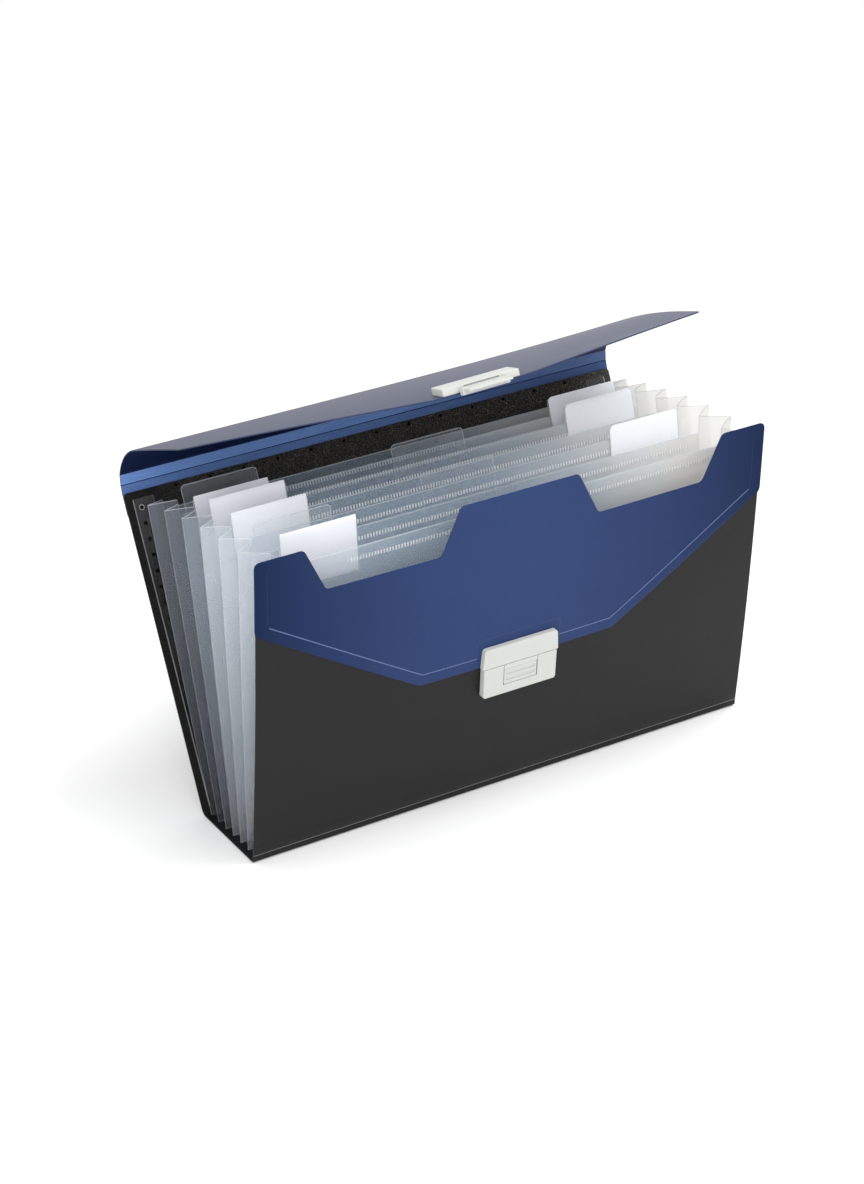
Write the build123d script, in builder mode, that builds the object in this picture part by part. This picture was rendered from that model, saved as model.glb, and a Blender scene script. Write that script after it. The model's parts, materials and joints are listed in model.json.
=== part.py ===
"""Accordion file folder.

Two board covers fold on a channel spine. Seven divider sheets fan out between them, joined at the
sides by pleated film. A blue sheet covers the top of the front, and a rolled blue flap on a creased
strip closes the folder with a press clasp. The origin is at the middle of the spine's bottom face,
+Z is up, and the front faces -Y. Sizes are in millimetres and angles in degrees.
"""

import os
from math import cos, radians, sin, sqrt, tan

from build123d import *

os.makedirs("parts", exist_ok=True)

# Covers and spine
cover_width = 370.0
spine_depth = 65.0
board = 1.0
front_height = 216.5
front_lean = 3.7
front_bow = 6.8
front_side_bow = 2.0
back_height = 210.0
back_lean = 26.7
front_upstand = 4.0
rear_upstand = 4.5
front_bend = 1.5
rear_bend = 6.0
fold_gap = 0.3

# Top outline of the front: a notched blue sheet, and a straight board that ends below the notches
shoulder_width = 32.6
notch_run = 14.6
notch_depth = 30.0
notch_clearance = 1.0
crown_width = 86.0
outline_round = 4.0

# Blue sheet on the front
pocket_sheet = 0.6
pocket_gap = 0.1
pocket_side_lap = 1.0
pocket_side_height = 167.0
pocket_foot_height = 99.5
pocket_foot_width = 144.0
pocket_round = 5.0

# Clasp on the front
clasp_plate_width = 55.6
clasp_plate_height = 13.8
clasp_plate_rise = 0.2
clasp_housing_width = 54.4
clasp_housing_height = 21.4
clasp_housing_drop = 0.3
clasp_depth = 4.6
clasp_round = 2.0
clasp_bevel = 0.8
window_width = 25.6
window_height = 11.5
window_foot = 6.6
press_play = 0.3
press_depth = 1.5
press_recess = 0.1
press_round = 0.8
tongue_slot = 1.8
tongue_slot_wall = 1.2
tongue_slot_reach = 17.0
tongue_play = 0.8

# Rivets of both halves of the clasp
rivet_radius = 1.5
rivet_play = 0.1
rivet_head_radius = 3.0
rivet_head = 0.6
rivet_head_gap = 0.3
rivet_inset = 6.0

# Strip above the back
strip = 0.8
strip_lap = 14.0
lower_band = 5.7
lower_band_heading = 72.0
upper_band = 7.4
upper_band_heading = 84.0
weld_pitch = 24.75
weld_count = 13
weld_radius = 1.2
weld_height = 0.3
weld_drop = 2.5

# Flap
flap_sheet = 0.8
flap_crease_gap = 0.9
flap_start_heading = 105.0
flap_turn = 51.0
flap_roll = 40.0
flap_reach_left = 101.0
flap_reach_right = 122.5
flap_reach_middle = 154.0
flap_middle_width = 72.0
flap_corner_round = 3.0
flap_middle_round = 8.0

# Clasp on the flap
flap_plate_width = 56.0
flap_plate_depth = 15.0
flap_plate_thickness = 4.5
flap_plate_inset = 1.0
flap_plate_round = 1.5
flap_plate_bevel = 0.8
tongue_width = 32.0
tongue_length = 12.0
tongue_root = 3.0
tongue_thickness = 1.5
tongue_lift = 0.4

# Divider sheets
sheet_count = 7
sheet = 0.5
sheet_height = 196.5
sheet_foot = 0.5
sheet_round = 3.0
sheet_end_inset = 20.0
first_sheet_inset = 3.6
last_sheet_inset = 5.6
last_sheet_slack = 1.8

# Index tabs and label cards
tab_width = 54.5
tab_height = 38.0
tab_rise = 8.4
high_tab_rise = 11.6
low_tab_rise = 1.5
tab_ply = 0.3
tab_gap = 0.9
tab_rim = 0.6
tab_round = 3.0
card = 0.3
card_play = 0.2
card_foot = 0.2
card_rise = 0.7

# Side film
film = 0.4
left_pleat_leg = 19.1
right_pleat_leg = 20.5
pleat_foot = 3.3
pleat_height = 208.5
pleat_drop = 0.7
pleat_seam = 0.4
pleat_spread = 0.15
front_pleat_gap = 0.3
margin_width = 14.5
margin_top = 205.0

# Middles of the tabs, measured from the sheet's left end, its centre or its right end
left_tab_2 = 45.5
left_tab_3 = 41.0
left_tab_4 = 38.0
left_tab_5 = 36.2
left_tab_6 = 36.7
left_tab_7 = 40.9
middle_tab_4 = 9.0
middle_tab_6 = 16.0
right_tab_3 = 27.3
right_tab_5 = 30.0
right_tab_6 = 27.3

# Each tab: the sheet that it is on, its column, its middle and its rise, and whether it holds a card
tabs = (
    (2, "left", left_tab_2, tab_rise, True),
    (3, "left", left_tab_3, tab_rise, False),
    (3, "right", right_tab_3, tab_rise, True),
    (4, "left", left_tab_4, tab_rise, True),
    (4, "middle", middle_tab_4, low_tab_rise, False),
    (5, "left", left_tab_5, high_tab_rise, True),
    (5, "right", right_tab_5, high_tab_rise, True),
    (6, "left", left_tab_6, tab_rise, True),
    (6, "middle", middle_tab_6, tab_rise, False),
    (6, "right", right_tab_6, high_tab_rise, True),
    (7, "left", left_tab_7, high_tab_rise, False),
)

# Worked out from the sizes above
half_width = cover_width / 2
half_depth = spine_depth / 2
sheet_width = cover_width - 2 * sheet_end_inset
sheet_pitch = (spine_depth - first_sheet_inset - last_sheet_inset) / (sheet_count - 1)
fan_step = (back_lean - last_sheet_slack) / (sheet_count - 1)
sheet_bottom = board + sheet_foot
across = Vector(1, 0, 0)

# Planes of the covers: local X across, local Y up the board, local Z out of the face that shows
front_up = Vector(0, -sin(radians(front_lean)), cos(radians(front_lean)))
front_out = Vector(0, -cos(radians(front_lean)), -sin(radians(front_lean)))
front_plane = Plane(origin=(0, -half_depth, 0), x_dir=across, z_dir=front_out)
front_depth = Axis((0, 0, 0), front_out)
back_in = Vector(0, -cos(radians(back_lean)), sin(radians(back_lean)))
back_plane = Plane(origin=(0, half_depth, 0), x_dir=across, z_dir=back_in)


def heading(angle):
    """Direction in the side view at an angle from +Y towards +Z."""
    return Vector(0, cos(radians(angle)), sin(radians(angle)))


def side_view(point):
    """A point's coordinates in the side view."""
    return (point.Y, point.Z)


def save(piece, name):
    """Label a finished piece and write it as one file."""
    piece.label = name
    export_step(piece, f"parts/{name}.step")


# Spine: a channel whose rear upstand leans back with the back cover
with BuildPart() as spine:
    front_edge = front_plane.from_local_coords(Vector(0, front_upstand, 0))
    rear_edge = back_plane.from_local_coords(Vector(0, rear_upstand, -board))
    rear_corner = half_depth + board / cos(radians(back_lean))
    with BuildSketch(Plane.YZ.offset(-half_width)):
        with BuildLine():
            FilletPolyline(
                side_view(front_edge),
                (-half_depth, 0),
                (rear_corner, 0),
                side_view(rear_edge),
                radius=[front_bend, rear_bend],
            )
            offset(amount=board, side=Side.LEFT)
        make_face()
    extrude(amount=cover_width)
save(spine.part, "spine")

# Front: sheets bowed outwards, flatter at the two ends than in the middle
front_foot = front_upstand + fold_gap
front_middle = (front_foot + front_height) / 2
bow_room = front_bow + 4 * board


def bowed_section(place, bow, inner, outer):
    """The side view of a bowed sheet between two depths, at a place across the front."""
    with BuildSketch(Plane(origin=(place, -half_depth, 0), x_dir=front_up, z_dir=across)) as section:
        with BuildLine():
            skin = ThreePointArc((front_foot, outer), (front_middle, bow + outer), (front_height, outer))
            lining = ThreePointArc((front_foot, inner), (front_middle, bow + inner), (front_height, inner))
            Line(skin @ 0, lining @ 0)
            Line(skin @ 1, lining @ 1)
        make_face()
    return section.sketch


def bowed_sections(reach, inner, outer):
    """Sections of a bowed sheet at its left end, its middle and its right end."""
    stations = ((-reach, front_side_bow), (0, front_bow), (reach, front_side_bow))
    return [bowed_section(place, bow, inner, outer) for place, bow in stations]


def bow_at(height):
    """How far the middle of the front bows out at a height up the board."""
    half_height = (front_height - front_foot) / 2
    return front_bow * (1 - ((height - front_middle) / half_height) ** 2)


def top_outline(reach):
    """Points of the notched top edge, from the right end to the left one."""
    notch_level = front_height - notch_depth
    notch_end = half_width - shoulder_width
    crown_end = crown_width / 2
    right = [
        (reach, front_height),
        (notch_end, front_height),
        (notch_end - notch_run, notch_level),
        (crown_end + notch_run, notch_level),
        (crown_end, front_height),
    ]
    left = [(-place, height) for place, height in reversed(right)]
    return right + left


front_board_height = front_height - notch_depth - notch_clearance
clasp_plate_foot = pocket_foot_height + clasp_plate_rise
clasp_plate_middle = clasp_plate_foot + clasp_plate_height / 2
clasp_housing_top = pocket_foot_height - clasp_housing_drop
clasp_housing_foot = clasp_housing_top - clasp_housing_height
clasp_housing_middle = clasp_housing_foot + clasp_housing_height / 2
housing_rivet_height = clasp_housing_foot + window_foot / 2
rivet_reach = clasp_plate_width / 2 - rivet_inset
plate_rivets = [(-rivet_reach, clasp_plate_middle), (rivet_reach, clasp_plate_middle)]
housing_rivets = [(-rivet_reach, housing_rivet_height), (rivet_reach, housing_rivet_height)]

with BuildPart() as front_panel:
    loft(bowed_sections(half_width, -board, 0))
    with BuildSketch(front_plane):
        with Locations((0, front_foot)):
            Rectangle(cover_width, front_board_height - front_foot, align=(Align.CENTER, Align.MIN))
        fillet(vertices().group_by(Axis.Y)[-1], outline_round)
    extrude(amount=bow_room, both=True, mode=Mode.INTERSECT)
    with BuildSketch(front_plane):
        with Locations(*plate_rivets, *housing_rivets):
            Circle(rivet_radius + rivet_play)
    extrude(amount=bow_room, both=True, mode=Mode.SUBTRACT)
save(front_panel.part, "front_panel")

# Blue sheet over the top of the front, drawn down to a flat foot behind the clasp
with BuildPart() as front_pocket:
    pocket_reach = half_width + pocket_side_lap
    pocket_foot_half = pocket_foot_width / 2
    loft(bowed_sections(pocket_reach, pocket_gap, pocket_gap + pocket_sheet))
    with BuildSketch(front_plane):
        with BuildLine():
            Polyline(
                (-pocket_reach, pocket_side_height),
                (-pocket_foot_half, pocket_foot_height),
                (pocket_foot_half, pocket_foot_height),
                (pocket_reach, pocket_side_height),
                *top_outline(pocket_reach),
                close=True,
            )
        make_face()
        above = pocket_side_height + outline_round
        fillet(vertices().filter_by(lambda corner: corner.Y > above), outline_round)
        fillet(vertices().filter_by(lambda corner: corner.Y < above), pocket_round)
    extrude(amount=bow_room, both=True, mode=Mode.INTERSECT)
    with BuildSketch(front_plane):
        with Locations(*plate_rivets):
            Circle(rivet_radius + rivet_play)
    extrude(amount=bow_room, both=True, mode=Mode.SUBTRACT)
save(front_pocket.part, "front_pocket")

# Upper plate of the clasp, with a slot right through it for the flap's tongue
clasp_seat = front_bow + pocket_gap
plate_seat = clasp_seat + pocket_sheet + pocket_gap
clasp_face = clasp_seat + clasp_depth
slot_floor = clasp_seat + tongue_slot_wall
slot_width = tongue_width + 2 * tongue_play

with BuildPart() as clasp_plate:
    with BuildSketch(front_plane.offset(plate_seat)):
        with Locations((0, clasp_plate_middle)):
            RectangleRounded(clasp_plate_width, clasp_plate_height, clasp_round)
    extrude(amount=clasp_face - plate_seat)
    chamfer(faces().sort_by(front_depth)[-1].edges(), clasp_bevel)
    with BuildSketch(front_plane.offset(slot_floor)):
        with Locations((0, clasp_plate_middle)):
            Rectangle(slot_width, clasp_plate_height)
    extrude(amount=tongue_slot, mode=Mode.SUBTRACT)
save(clasp_plate.part, "clasp_plate")

# Lower housing of the clasp, with a pocket for the tongue and a window for the press
window_middle = clasp_housing_foot + window_foot + window_height / 2

with BuildPart() as clasp_housing:
    with BuildSketch(front_plane.offset(clasp_seat)):
        with Locations((0, clasp_housing_middle)):
            RectangleRounded(clasp_housing_width, clasp_housing_height, clasp_round)
    extrude(amount=clasp_depth)
    chamfer(faces().sort_by(front_depth)[-1].edges(), clasp_bevel)
    with BuildSketch(front_plane.offset(slot_floor)):
        with Locations((0, clasp_housing_top)):
            Rectangle(slot_width, tongue_slot_reach, align=(Align.CENTER, Align.MAX))
    extrude(amount=tongue_slot, mode=Mode.SUBTRACT)
    with BuildSketch(front_plane.offset(slot_floor)):
        with Locations((0, window_middle)):
            Rectangle(window_width, window_height)
    extrude(amount=clasp_depth, mode=Mode.SUBTRACT)
save(clasp_housing.part, "clasp_housing")

# Press in the housing's window
with BuildPart() as clasp_press:
    with BuildSketch(front_plane.offset(clasp_face - press_recess - press_depth)):
        with Locations((0, window_middle)):
            RectangleRounded(window_width - 2 * press_play, window_height - 2 * press_play, press_round)
    extrude(amount=press_depth)
save(clasp_press.part, "clasp_press")


# Rivets from the inside of the front to the backs of the plate and the housing
with BuildPart() as clasp_rivets:
    for places, seat in ((plate_rivets, plate_seat), (housing_rivets, clasp_seat)):
        head_seat = bow_at(places[0][1]) - board - rivet_head_gap
        with BuildSketch(front_plane.offset(head_seat)):
            with Locations(*places):
                Circle(rivet_radius)
        extrude(amount=seat - head_seat)
        with BuildSketch(front_plane.offset(head_seat - rivet_head)):
            with Locations(*places):
                Circle(rivet_head_radius)
        extrude(amount=rivet_head)
save(clasp_rivets.part, "clasp_rivets")

# Back board
with BuildPart() as back_panel:
    back_foot = rear_upstand + fold_gap
    with BuildSketch(back_plane):
        with Locations((0, back_foot)):
            Rectangle(cover_width, back_height - back_foot, align=(Align.CENTER, Align.MIN))
    extrude(amount=-board)
save(back_panel.part, "back_panel")

# Strip behind the back's top edge: a welded lap and two bands up to the flap's crease
lap_start = back_plane.from_local_coords(Vector(0, back_height - strip_lap, -board))
lap_end = back_plane.from_local_coords(Vector(0, back_height, -board))
band_crease = lap_end + heading(lower_band_heading) * lower_band
flap_crease_inside = band_crease + heading(upper_band_heading) * upper_band
flap_crease = flap_crease_inside + heading(upper_band_heading - 90) * strip
strip_end = flap_crease_inside - heading(upper_band_heading) * (flap_crease_gap / 2)

with BuildPart() as flap_strip:
    with BuildSketch(Plane.YZ.offset(-half_width)):
        with BuildLine():
            Polyline(side_view(lap_start), side_view(lap_end), side_view(band_crease), side_view(strip_end))
            offset(amount=strip, side=Side.RIGHT)
        make_face()
    extrude(amount=cover_width)
save(flap_strip.part, "flap_strip")

with BuildPart() as strip_welds:
    with BuildSketch(back_plane):
        with Locations((0, back_height - weld_drop)):
            with GridLocations(weld_pitch, 0, weld_count, 1):
                Circle(weld_radius)
    extrude(amount=weld_height)
save(strip_welds.part, "strip_welds")

# Flap: rolls over from the crease, then runs straight
roll_heading = flap_start_heading + flap_turn
flap_forward = heading(roll_heading)
flap_start = flap_crease + heading(flap_start_heading) * (flap_crease_gap / 2)
roll_end = flap_start + (heading(roll_heading - 90) - heading(flap_start_heading - 90)) * flap_roll
flap_origin = roll_end - flap_forward * (roll_end - flap_crease).dot(flap_forward)
flap_under = heading(roll_heading + 90)
flap_plane = Plane(origin=flap_origin, x_dir=across, z_dir=flap_under)
flap_room = 2 * flap_roll
flap_plate_middle = flap_reach_middle - flap_plate_inset - flap_plate_depth / 2
flap_rivet_reach = flap_plate_width / 2 - rivet_inset
flap_rivets = [(-flap_rivet_reach, flap_plate_middle), (flap_rivet_reach, flap_plate_middle)]

with BuildPart() as flap:
    with BuildSketch(Plane.YZ.offset(-half_width)):
        with BuildLine():
            start_way = side_view(heading(flap_start_heading))
            roll = JernArc(side_view(flap_start), start_way, flap_roll, flap_turn)
            PolarLine(roll @ 1, flap_reach_middle, roll_heading)
            offset(amount=flap_sheet, side=Side.LEFT)
        make_face()
    extrude(amount=cover_width)
    with BuildSketch(flap_plane):
        with BuildLine():
            Polyline(
                (-half_width, -flap_room),
                (half_width, -flap_room),
                (half_width, flap_reach_right),
                (flap_middle_width / 2, flap_reach_middle),
                (-flap_middle_width / 2, flap_reach_middle),
                (-half_width, flap_reach_left),
                close=True,
            )
        make_face()
        outline = vertices().filter_by(lambda corner: corner.Y > 0)
        fillet(outline.filter_by(lambda corner: abs(corner.X) > flap_middle_width), flap_corner_round)
        middle = vertices().filter_by(lambda corner: abs(corner.X) < flap_middle_width)
        fillet(middle, flap_middle_round)
    extrude(amount=flap_room, both=True, mode=Mode.INTERSECT)
    with BuildSketch(flap_plane.offset(-flap_sheet)):
        with Locations(*flap_rivets):
            Circle(rivet_radius + rivet_play)
    extrude(amount=3 * flap_sheet, mode=Mode.SUBTRACT)
save(flap.part, "flap")

# Clasp plate on the flap's outer face, with the tongue ahead of the free edge
with BuildPart() as flap_clasp_plate:
    with BuildSketch(flap_plane):
        with Locations((0, flap_plate_middle)):
            RectangleRounded(flap_plate_width, flap_plate_depth, flap_plate_round)
    extrude(amount=-flap_plate_thickness)
    chamfer(faces().sort_by(Axis((0, 0, 0), flap_under))[0].edges(), flap_plate_bevel)
    with BuildSketch(flap_plane.offset(-tongue_lift)):
        with Locations((0, flap_reach_middle - flap_plate_inset - tongue_root)):
            Rectangle(tongue_width, tongue_root + tongue_length, align=(Align.CENTER, Align.MIN))
    extrude(amount=-tongue_thickness)
save(flap_clasp_plate.part, "flap_clasp_plate")

with BuildPart() as flap_clasp_rivets:
    with BuildSketch(flap_plane):
        with Locations(*flap_rivets):
            Circle(rivet_radius)
    extrude(amount=flap_sheet)
    with BuildSketch(flap_plane.offset(flap_sheet)):
        with Locations(*flap_rivets):
            Circle(rivet_head_radius)
    extrude(amount=rivet_head)
save(flap_clasp_rivets.part, "flap_clasp_rivets")


# Divider sheets: upright at the front, leaning further back from sheet to sheet
def sheet_place(number):
    """Y of a sheet's bottom edge; sheet 1 is at the front."""
    return -half_depth + first_sheet_inset + (number - 1) * sheet_pitch


def sheet_plane(number):
    """Middle plane of a sheet, facing the front."""
    lean = radians((number - 1) * fan_step)
    facing = Vector(0, -cos(lean), sin(lean))
    return Plane(origin=(0, sheet_place(number), sheet_bottom), x_dir=across, z_dir=facing)


for number in range(1, sheet_count + 1):
    with BuildPart() as divider:
        with BuildSketch(sheet_plane(number)):
            Rectangle(sheet_width, sheet_height, align=(Align.CENTER, Align.MIN))
            fillet(vertices().group_by(Axis.Y)[-1], sheet_round)
        extrude(amount=sheet / 2, both=True)
    save(divider.part, f"divider_{number}")

# Index tabs: clear sleeves on the sheets' front faces, open at the top, some with a label card
for number, column, place, rise, holds_card in tabs:
    ends = {"left": place - sheet_width / 2, "middle": place, "right": sheet_width / 2 - place}
    tab_place = (ends[column], sheet_height + rise)
    tab_back = sheet_plane(number).offset(sheet / 2)
    with BuildPart() as tab:
        with BuildSketch(tab_back):
            with Locations(tab_place):
                Rectangle(tab_width, tab_height, align=(Align.CENTER, Align.MAX))
            fillet(vertices().group_by(Axis.Y)[-1], tab_round)
        extrude(amount=2 * tab_ply + tab_gap)
        with BuildSketch(tab_back.offset(tab_ply)):
            with Locations(tab_place):
                Rectangle(tab_width - 2 * tab_rim, tab_height - tab_rim, align=(Align.CENTER, Align.MAX))
        extrude(amount=tab_gap, mode=Mode.SUBTRACT)
    save(tab.part, f"tab_{number}_{column}")
    if holds_card:
        card_width = tab_width - 2 * tab_rim - 2 * card_play
        card_height = tab_height - tab_rim - card_foot + card_rise
        with BuildPart() as label_card:
            with BuildSketch(tab_back.offset(tab_ply + (tab_gap - card) / 2)):
                with Locations((ends[column], sheet_height + rise + card_rise)):
                    Rectangle(card_width, card_height, align=(Align.CENTER, Align.MAX))
            extrude(amount=card)
        save(label_card.part, f"card_{number}_{column}")

# Side film: each pleat folds outwards between the ends of two neighbouring sheets
film_start = sheet_width / 2 + pleat_seam


pleat_legs = {-1: left_pleat_leg, 1: right_pleat_leg}


def pleat_rises(number):
    """Rises of a pleat's bottom and top edges above the sheets' bottom edges."""
    return (pleat_foot, pleat_height - (number - 1) * pleat_drop)


def fold_section(level, half_gap, side):
    """The section of a pleat whose two legs start half a gap from its middle plane."""
    leg = pleat_legs[side]
    half = half_gap - pleat_spread
    depth = sqrt(leg**2 - half**2)
    end_wall = film * leg / depth
    fold_wall = film * leg / half
    with BuildSketch(level) as section:
        with BuildLine():
            Polyline(
                (side * film_start, -half),
                (side * (film_start + depth), 0),
                (side * film_start, half),
                (side * film_start, half - end_wall),
                (side * (film_start + depth - fold_wall), 0),
                (side * film_start, end_wall - half),
                close=True,
            )
        make_face()
    return section.sketch


def pleat_section(number, side, rise):
    """The section of the pleat in front of a sheet, at a rise above the sheets' bottom edges."""
    lean = radians((number - 1.5) * fan_step)
    place = (sheet_place(number - 1) + sheet_place(number)) / 2
    up = Vector(0, sin(lean), cos(lean))
    origin = Vector(0, place, sheet_bottom) + up * rise
    half_gap = sheet_pitch / 2 * cos(lean) + rise * tan(radians(fan_step / 2))
    return fold_section(Plane(origin=origin, x_dir=across, z_dir=up), half_gap, side)


def front_pleat_section(side, rise):
    """The section of the single leg from the first sheet's end to the inside of the front."""
    level = sheet_bottom + rise
    front_inside = -half_depth - level * tan(radians(front_lean)) + board / cos(radians(front_lean))
    reach = front_inside + front_pleat_gap
    start = sheet_place(1) - pleat_spread
    leg = pleat_legs[side]
    depth = sqrt(leg**2 - (start - reach) ** 2)
    wall = film * leg / depth
    with BuildSketch(Plane.XY.offset(level)) as section:
        with BuildLine():
            Polyline(
                (side * film_start, start),
                (side * (film_start + depth), reach + wall),
                (side * (film_start + depth), reach),
                (side * film_start, start - wall),
                close=True,
            )
        make_face()
    return section.sketch


for side_name, side in (("left", -1), ("right", 1)):
    with BuildPart() as first_pleat:
        loft([front_pleat_section(side, rise) for rise in pleat_rises(1)], ruled=True)
    save(first_pleat.part, f"pleat_{side_name}_1")
    for number in range(2, sheet_count + 1):
        with BuildPart() as side_pleat:
            loft([pleat_section(number, side, rise) for rise in pleat_rises(number)], ruled=True)
        save(side_pleat.part, f"pleat_{side_name}_{number}")
    with BuildPart() as margin:
        with BuildSketch(back_plane):
            with Locations((side * (film_start + margin_width / 2), rear_upstand + fold_gap)):
                Rectangle(margin_width, margin_top - rear_upstand, align=(Align.CENTER, Align.MIN))
        extrude(amount=film)
    save(margin.part, f"margin_{side_name}")
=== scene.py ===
"""Looks of the accordion file folder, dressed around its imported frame.

Every sheet is cut flat, shaped on the folder and given its thickness there. Sizes are in millimetres
on the pieces' own faces, and a face turns them into the scene's metres.
"""

import json
import logging
import math
from collections.abc import Callable, Sequence
from dataclasses import dataclass
from enum import Enum
from functools import cached_property
from typing import Any

import bmesh
import bpy
from mathutils import Vector
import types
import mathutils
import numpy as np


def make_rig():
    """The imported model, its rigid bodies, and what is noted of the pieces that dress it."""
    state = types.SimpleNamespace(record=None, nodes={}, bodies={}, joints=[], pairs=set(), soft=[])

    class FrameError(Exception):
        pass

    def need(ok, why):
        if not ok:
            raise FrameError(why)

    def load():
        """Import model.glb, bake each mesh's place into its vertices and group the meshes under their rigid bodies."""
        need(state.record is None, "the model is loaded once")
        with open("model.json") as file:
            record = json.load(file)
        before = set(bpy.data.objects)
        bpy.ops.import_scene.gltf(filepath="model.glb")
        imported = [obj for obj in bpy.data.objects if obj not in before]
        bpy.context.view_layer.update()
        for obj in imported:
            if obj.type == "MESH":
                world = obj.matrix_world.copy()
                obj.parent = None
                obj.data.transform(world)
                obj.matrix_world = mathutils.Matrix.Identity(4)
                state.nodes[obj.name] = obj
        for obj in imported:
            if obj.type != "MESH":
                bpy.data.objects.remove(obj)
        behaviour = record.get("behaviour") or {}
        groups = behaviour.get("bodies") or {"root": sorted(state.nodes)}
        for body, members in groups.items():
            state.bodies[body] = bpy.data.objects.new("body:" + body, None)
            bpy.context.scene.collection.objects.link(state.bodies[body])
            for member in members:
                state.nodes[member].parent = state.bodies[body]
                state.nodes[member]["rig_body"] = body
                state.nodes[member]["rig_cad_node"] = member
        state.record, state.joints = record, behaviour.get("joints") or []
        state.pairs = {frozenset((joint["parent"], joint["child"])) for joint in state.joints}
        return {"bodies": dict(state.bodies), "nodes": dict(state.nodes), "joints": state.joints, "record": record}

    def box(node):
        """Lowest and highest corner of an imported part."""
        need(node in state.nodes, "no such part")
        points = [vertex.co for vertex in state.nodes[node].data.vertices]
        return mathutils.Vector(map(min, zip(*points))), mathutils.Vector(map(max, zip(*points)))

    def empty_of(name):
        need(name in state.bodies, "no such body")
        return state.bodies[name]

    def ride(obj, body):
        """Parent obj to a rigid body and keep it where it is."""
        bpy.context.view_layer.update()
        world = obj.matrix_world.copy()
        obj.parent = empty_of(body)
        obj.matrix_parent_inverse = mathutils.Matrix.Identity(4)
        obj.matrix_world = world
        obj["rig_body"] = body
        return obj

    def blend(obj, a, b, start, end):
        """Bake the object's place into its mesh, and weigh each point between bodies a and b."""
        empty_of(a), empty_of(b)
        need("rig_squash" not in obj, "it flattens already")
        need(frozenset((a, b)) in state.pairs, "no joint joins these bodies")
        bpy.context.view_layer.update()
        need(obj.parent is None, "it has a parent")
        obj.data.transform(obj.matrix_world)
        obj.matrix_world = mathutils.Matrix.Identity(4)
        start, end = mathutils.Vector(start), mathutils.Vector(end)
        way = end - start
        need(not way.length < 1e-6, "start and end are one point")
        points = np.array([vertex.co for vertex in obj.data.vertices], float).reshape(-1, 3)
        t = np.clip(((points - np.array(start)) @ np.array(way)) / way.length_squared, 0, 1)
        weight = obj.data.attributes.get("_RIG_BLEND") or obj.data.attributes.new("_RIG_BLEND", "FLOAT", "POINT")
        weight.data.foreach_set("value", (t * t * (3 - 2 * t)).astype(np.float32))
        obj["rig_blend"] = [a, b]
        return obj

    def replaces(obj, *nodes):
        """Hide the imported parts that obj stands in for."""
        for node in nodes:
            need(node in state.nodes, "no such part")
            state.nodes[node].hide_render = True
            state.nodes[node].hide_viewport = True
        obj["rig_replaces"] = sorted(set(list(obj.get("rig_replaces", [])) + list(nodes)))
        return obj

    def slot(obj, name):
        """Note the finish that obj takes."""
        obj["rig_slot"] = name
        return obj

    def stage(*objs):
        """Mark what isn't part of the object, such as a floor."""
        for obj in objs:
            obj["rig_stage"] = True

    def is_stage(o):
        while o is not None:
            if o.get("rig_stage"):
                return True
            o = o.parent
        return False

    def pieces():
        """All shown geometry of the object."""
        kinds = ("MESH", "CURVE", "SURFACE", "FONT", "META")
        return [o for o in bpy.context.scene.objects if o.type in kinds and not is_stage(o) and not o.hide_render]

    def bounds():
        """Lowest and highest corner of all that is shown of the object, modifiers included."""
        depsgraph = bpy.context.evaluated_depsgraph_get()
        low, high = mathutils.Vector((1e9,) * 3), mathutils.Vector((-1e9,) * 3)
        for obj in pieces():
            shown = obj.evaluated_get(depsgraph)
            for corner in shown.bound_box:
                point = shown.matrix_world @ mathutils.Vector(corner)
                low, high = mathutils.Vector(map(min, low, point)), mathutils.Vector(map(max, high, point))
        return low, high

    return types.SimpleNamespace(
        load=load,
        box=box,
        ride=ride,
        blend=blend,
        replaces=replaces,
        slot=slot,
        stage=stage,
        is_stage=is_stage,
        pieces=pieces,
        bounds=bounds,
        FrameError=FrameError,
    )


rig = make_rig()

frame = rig.load()
cad_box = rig.bounds()

log = logging.getLogger("folder")
SIZE_FILE = "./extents.json"
Point = tuple[float, float]
Triple = tuple[float, float, float]
Colour = Triple
Form = Callable[[float, float, float], Vector]

# Lengths in metres
MM = 0.001
HALF_LENGTH = 0.185
FULL_HEIGHT = 0.2

# Modelling, with lengths in millimetres
NEAR = 1e-3
LEAST_STEP = 0.02
SHARP_TURN = math.radians(50)
CORNER_STEPS = 5
FACE_STEPS = 3
EDGE_STEPS = 2
MARK_SIDES = 14
MARK_BEVEL = 0.6
BEAD_PROFILE = ((-0.5, -0.1), (-0.25, 0.8), (0.0, 1.0), (0.25, 0.8), (0.5, -0.1))

# Shading
DARK: Colour = (0.0, 0.0, 0.0)
WHITE: Colour = (1.0, 1.0, 1.0)
UNSTRETCHED: Triple = (1.0, 1.0, 1.0)
SHOWN_TO = ("Camera", "Glossy", "Transmission")


class Side(Enum):
    """The two ends of the folder, with the sign of X there."""

    LEFT = -1
    RIGHT = 1

    @property
    def word(self) -> str:
        """The side's name in the names of the nodes."""
        return self.name.lower()


class Smoothing(Enum):
    """Turn in degrees below which a piece's edges are shaded smooth."""

    CREASED = 8.0
    SHEET = 25.0
    MOULDED = 32.0
    ROUND = 40.0
    BEAD = 60.0


# Places on the folder


def heading(angle: float) -> Vector:
    """Direction in the side view, given in degrees from +Y towards +Z."""
    return Vector((0.0, math.cos(math.radians(angle)), math.sin(math.radians(angle))))


def joint(name: str) -> dict[str, Any]:
    """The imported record's joint of that name."""
    return next(entry for entry in frame["joints"] if entry["name"] == name)


def raised(shape: Form, rise: float) -> Form:
    """The same shape, that many millimetres further out of its face."""
    return lambda u, v, n: shape(u, v, n + rise)


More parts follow.
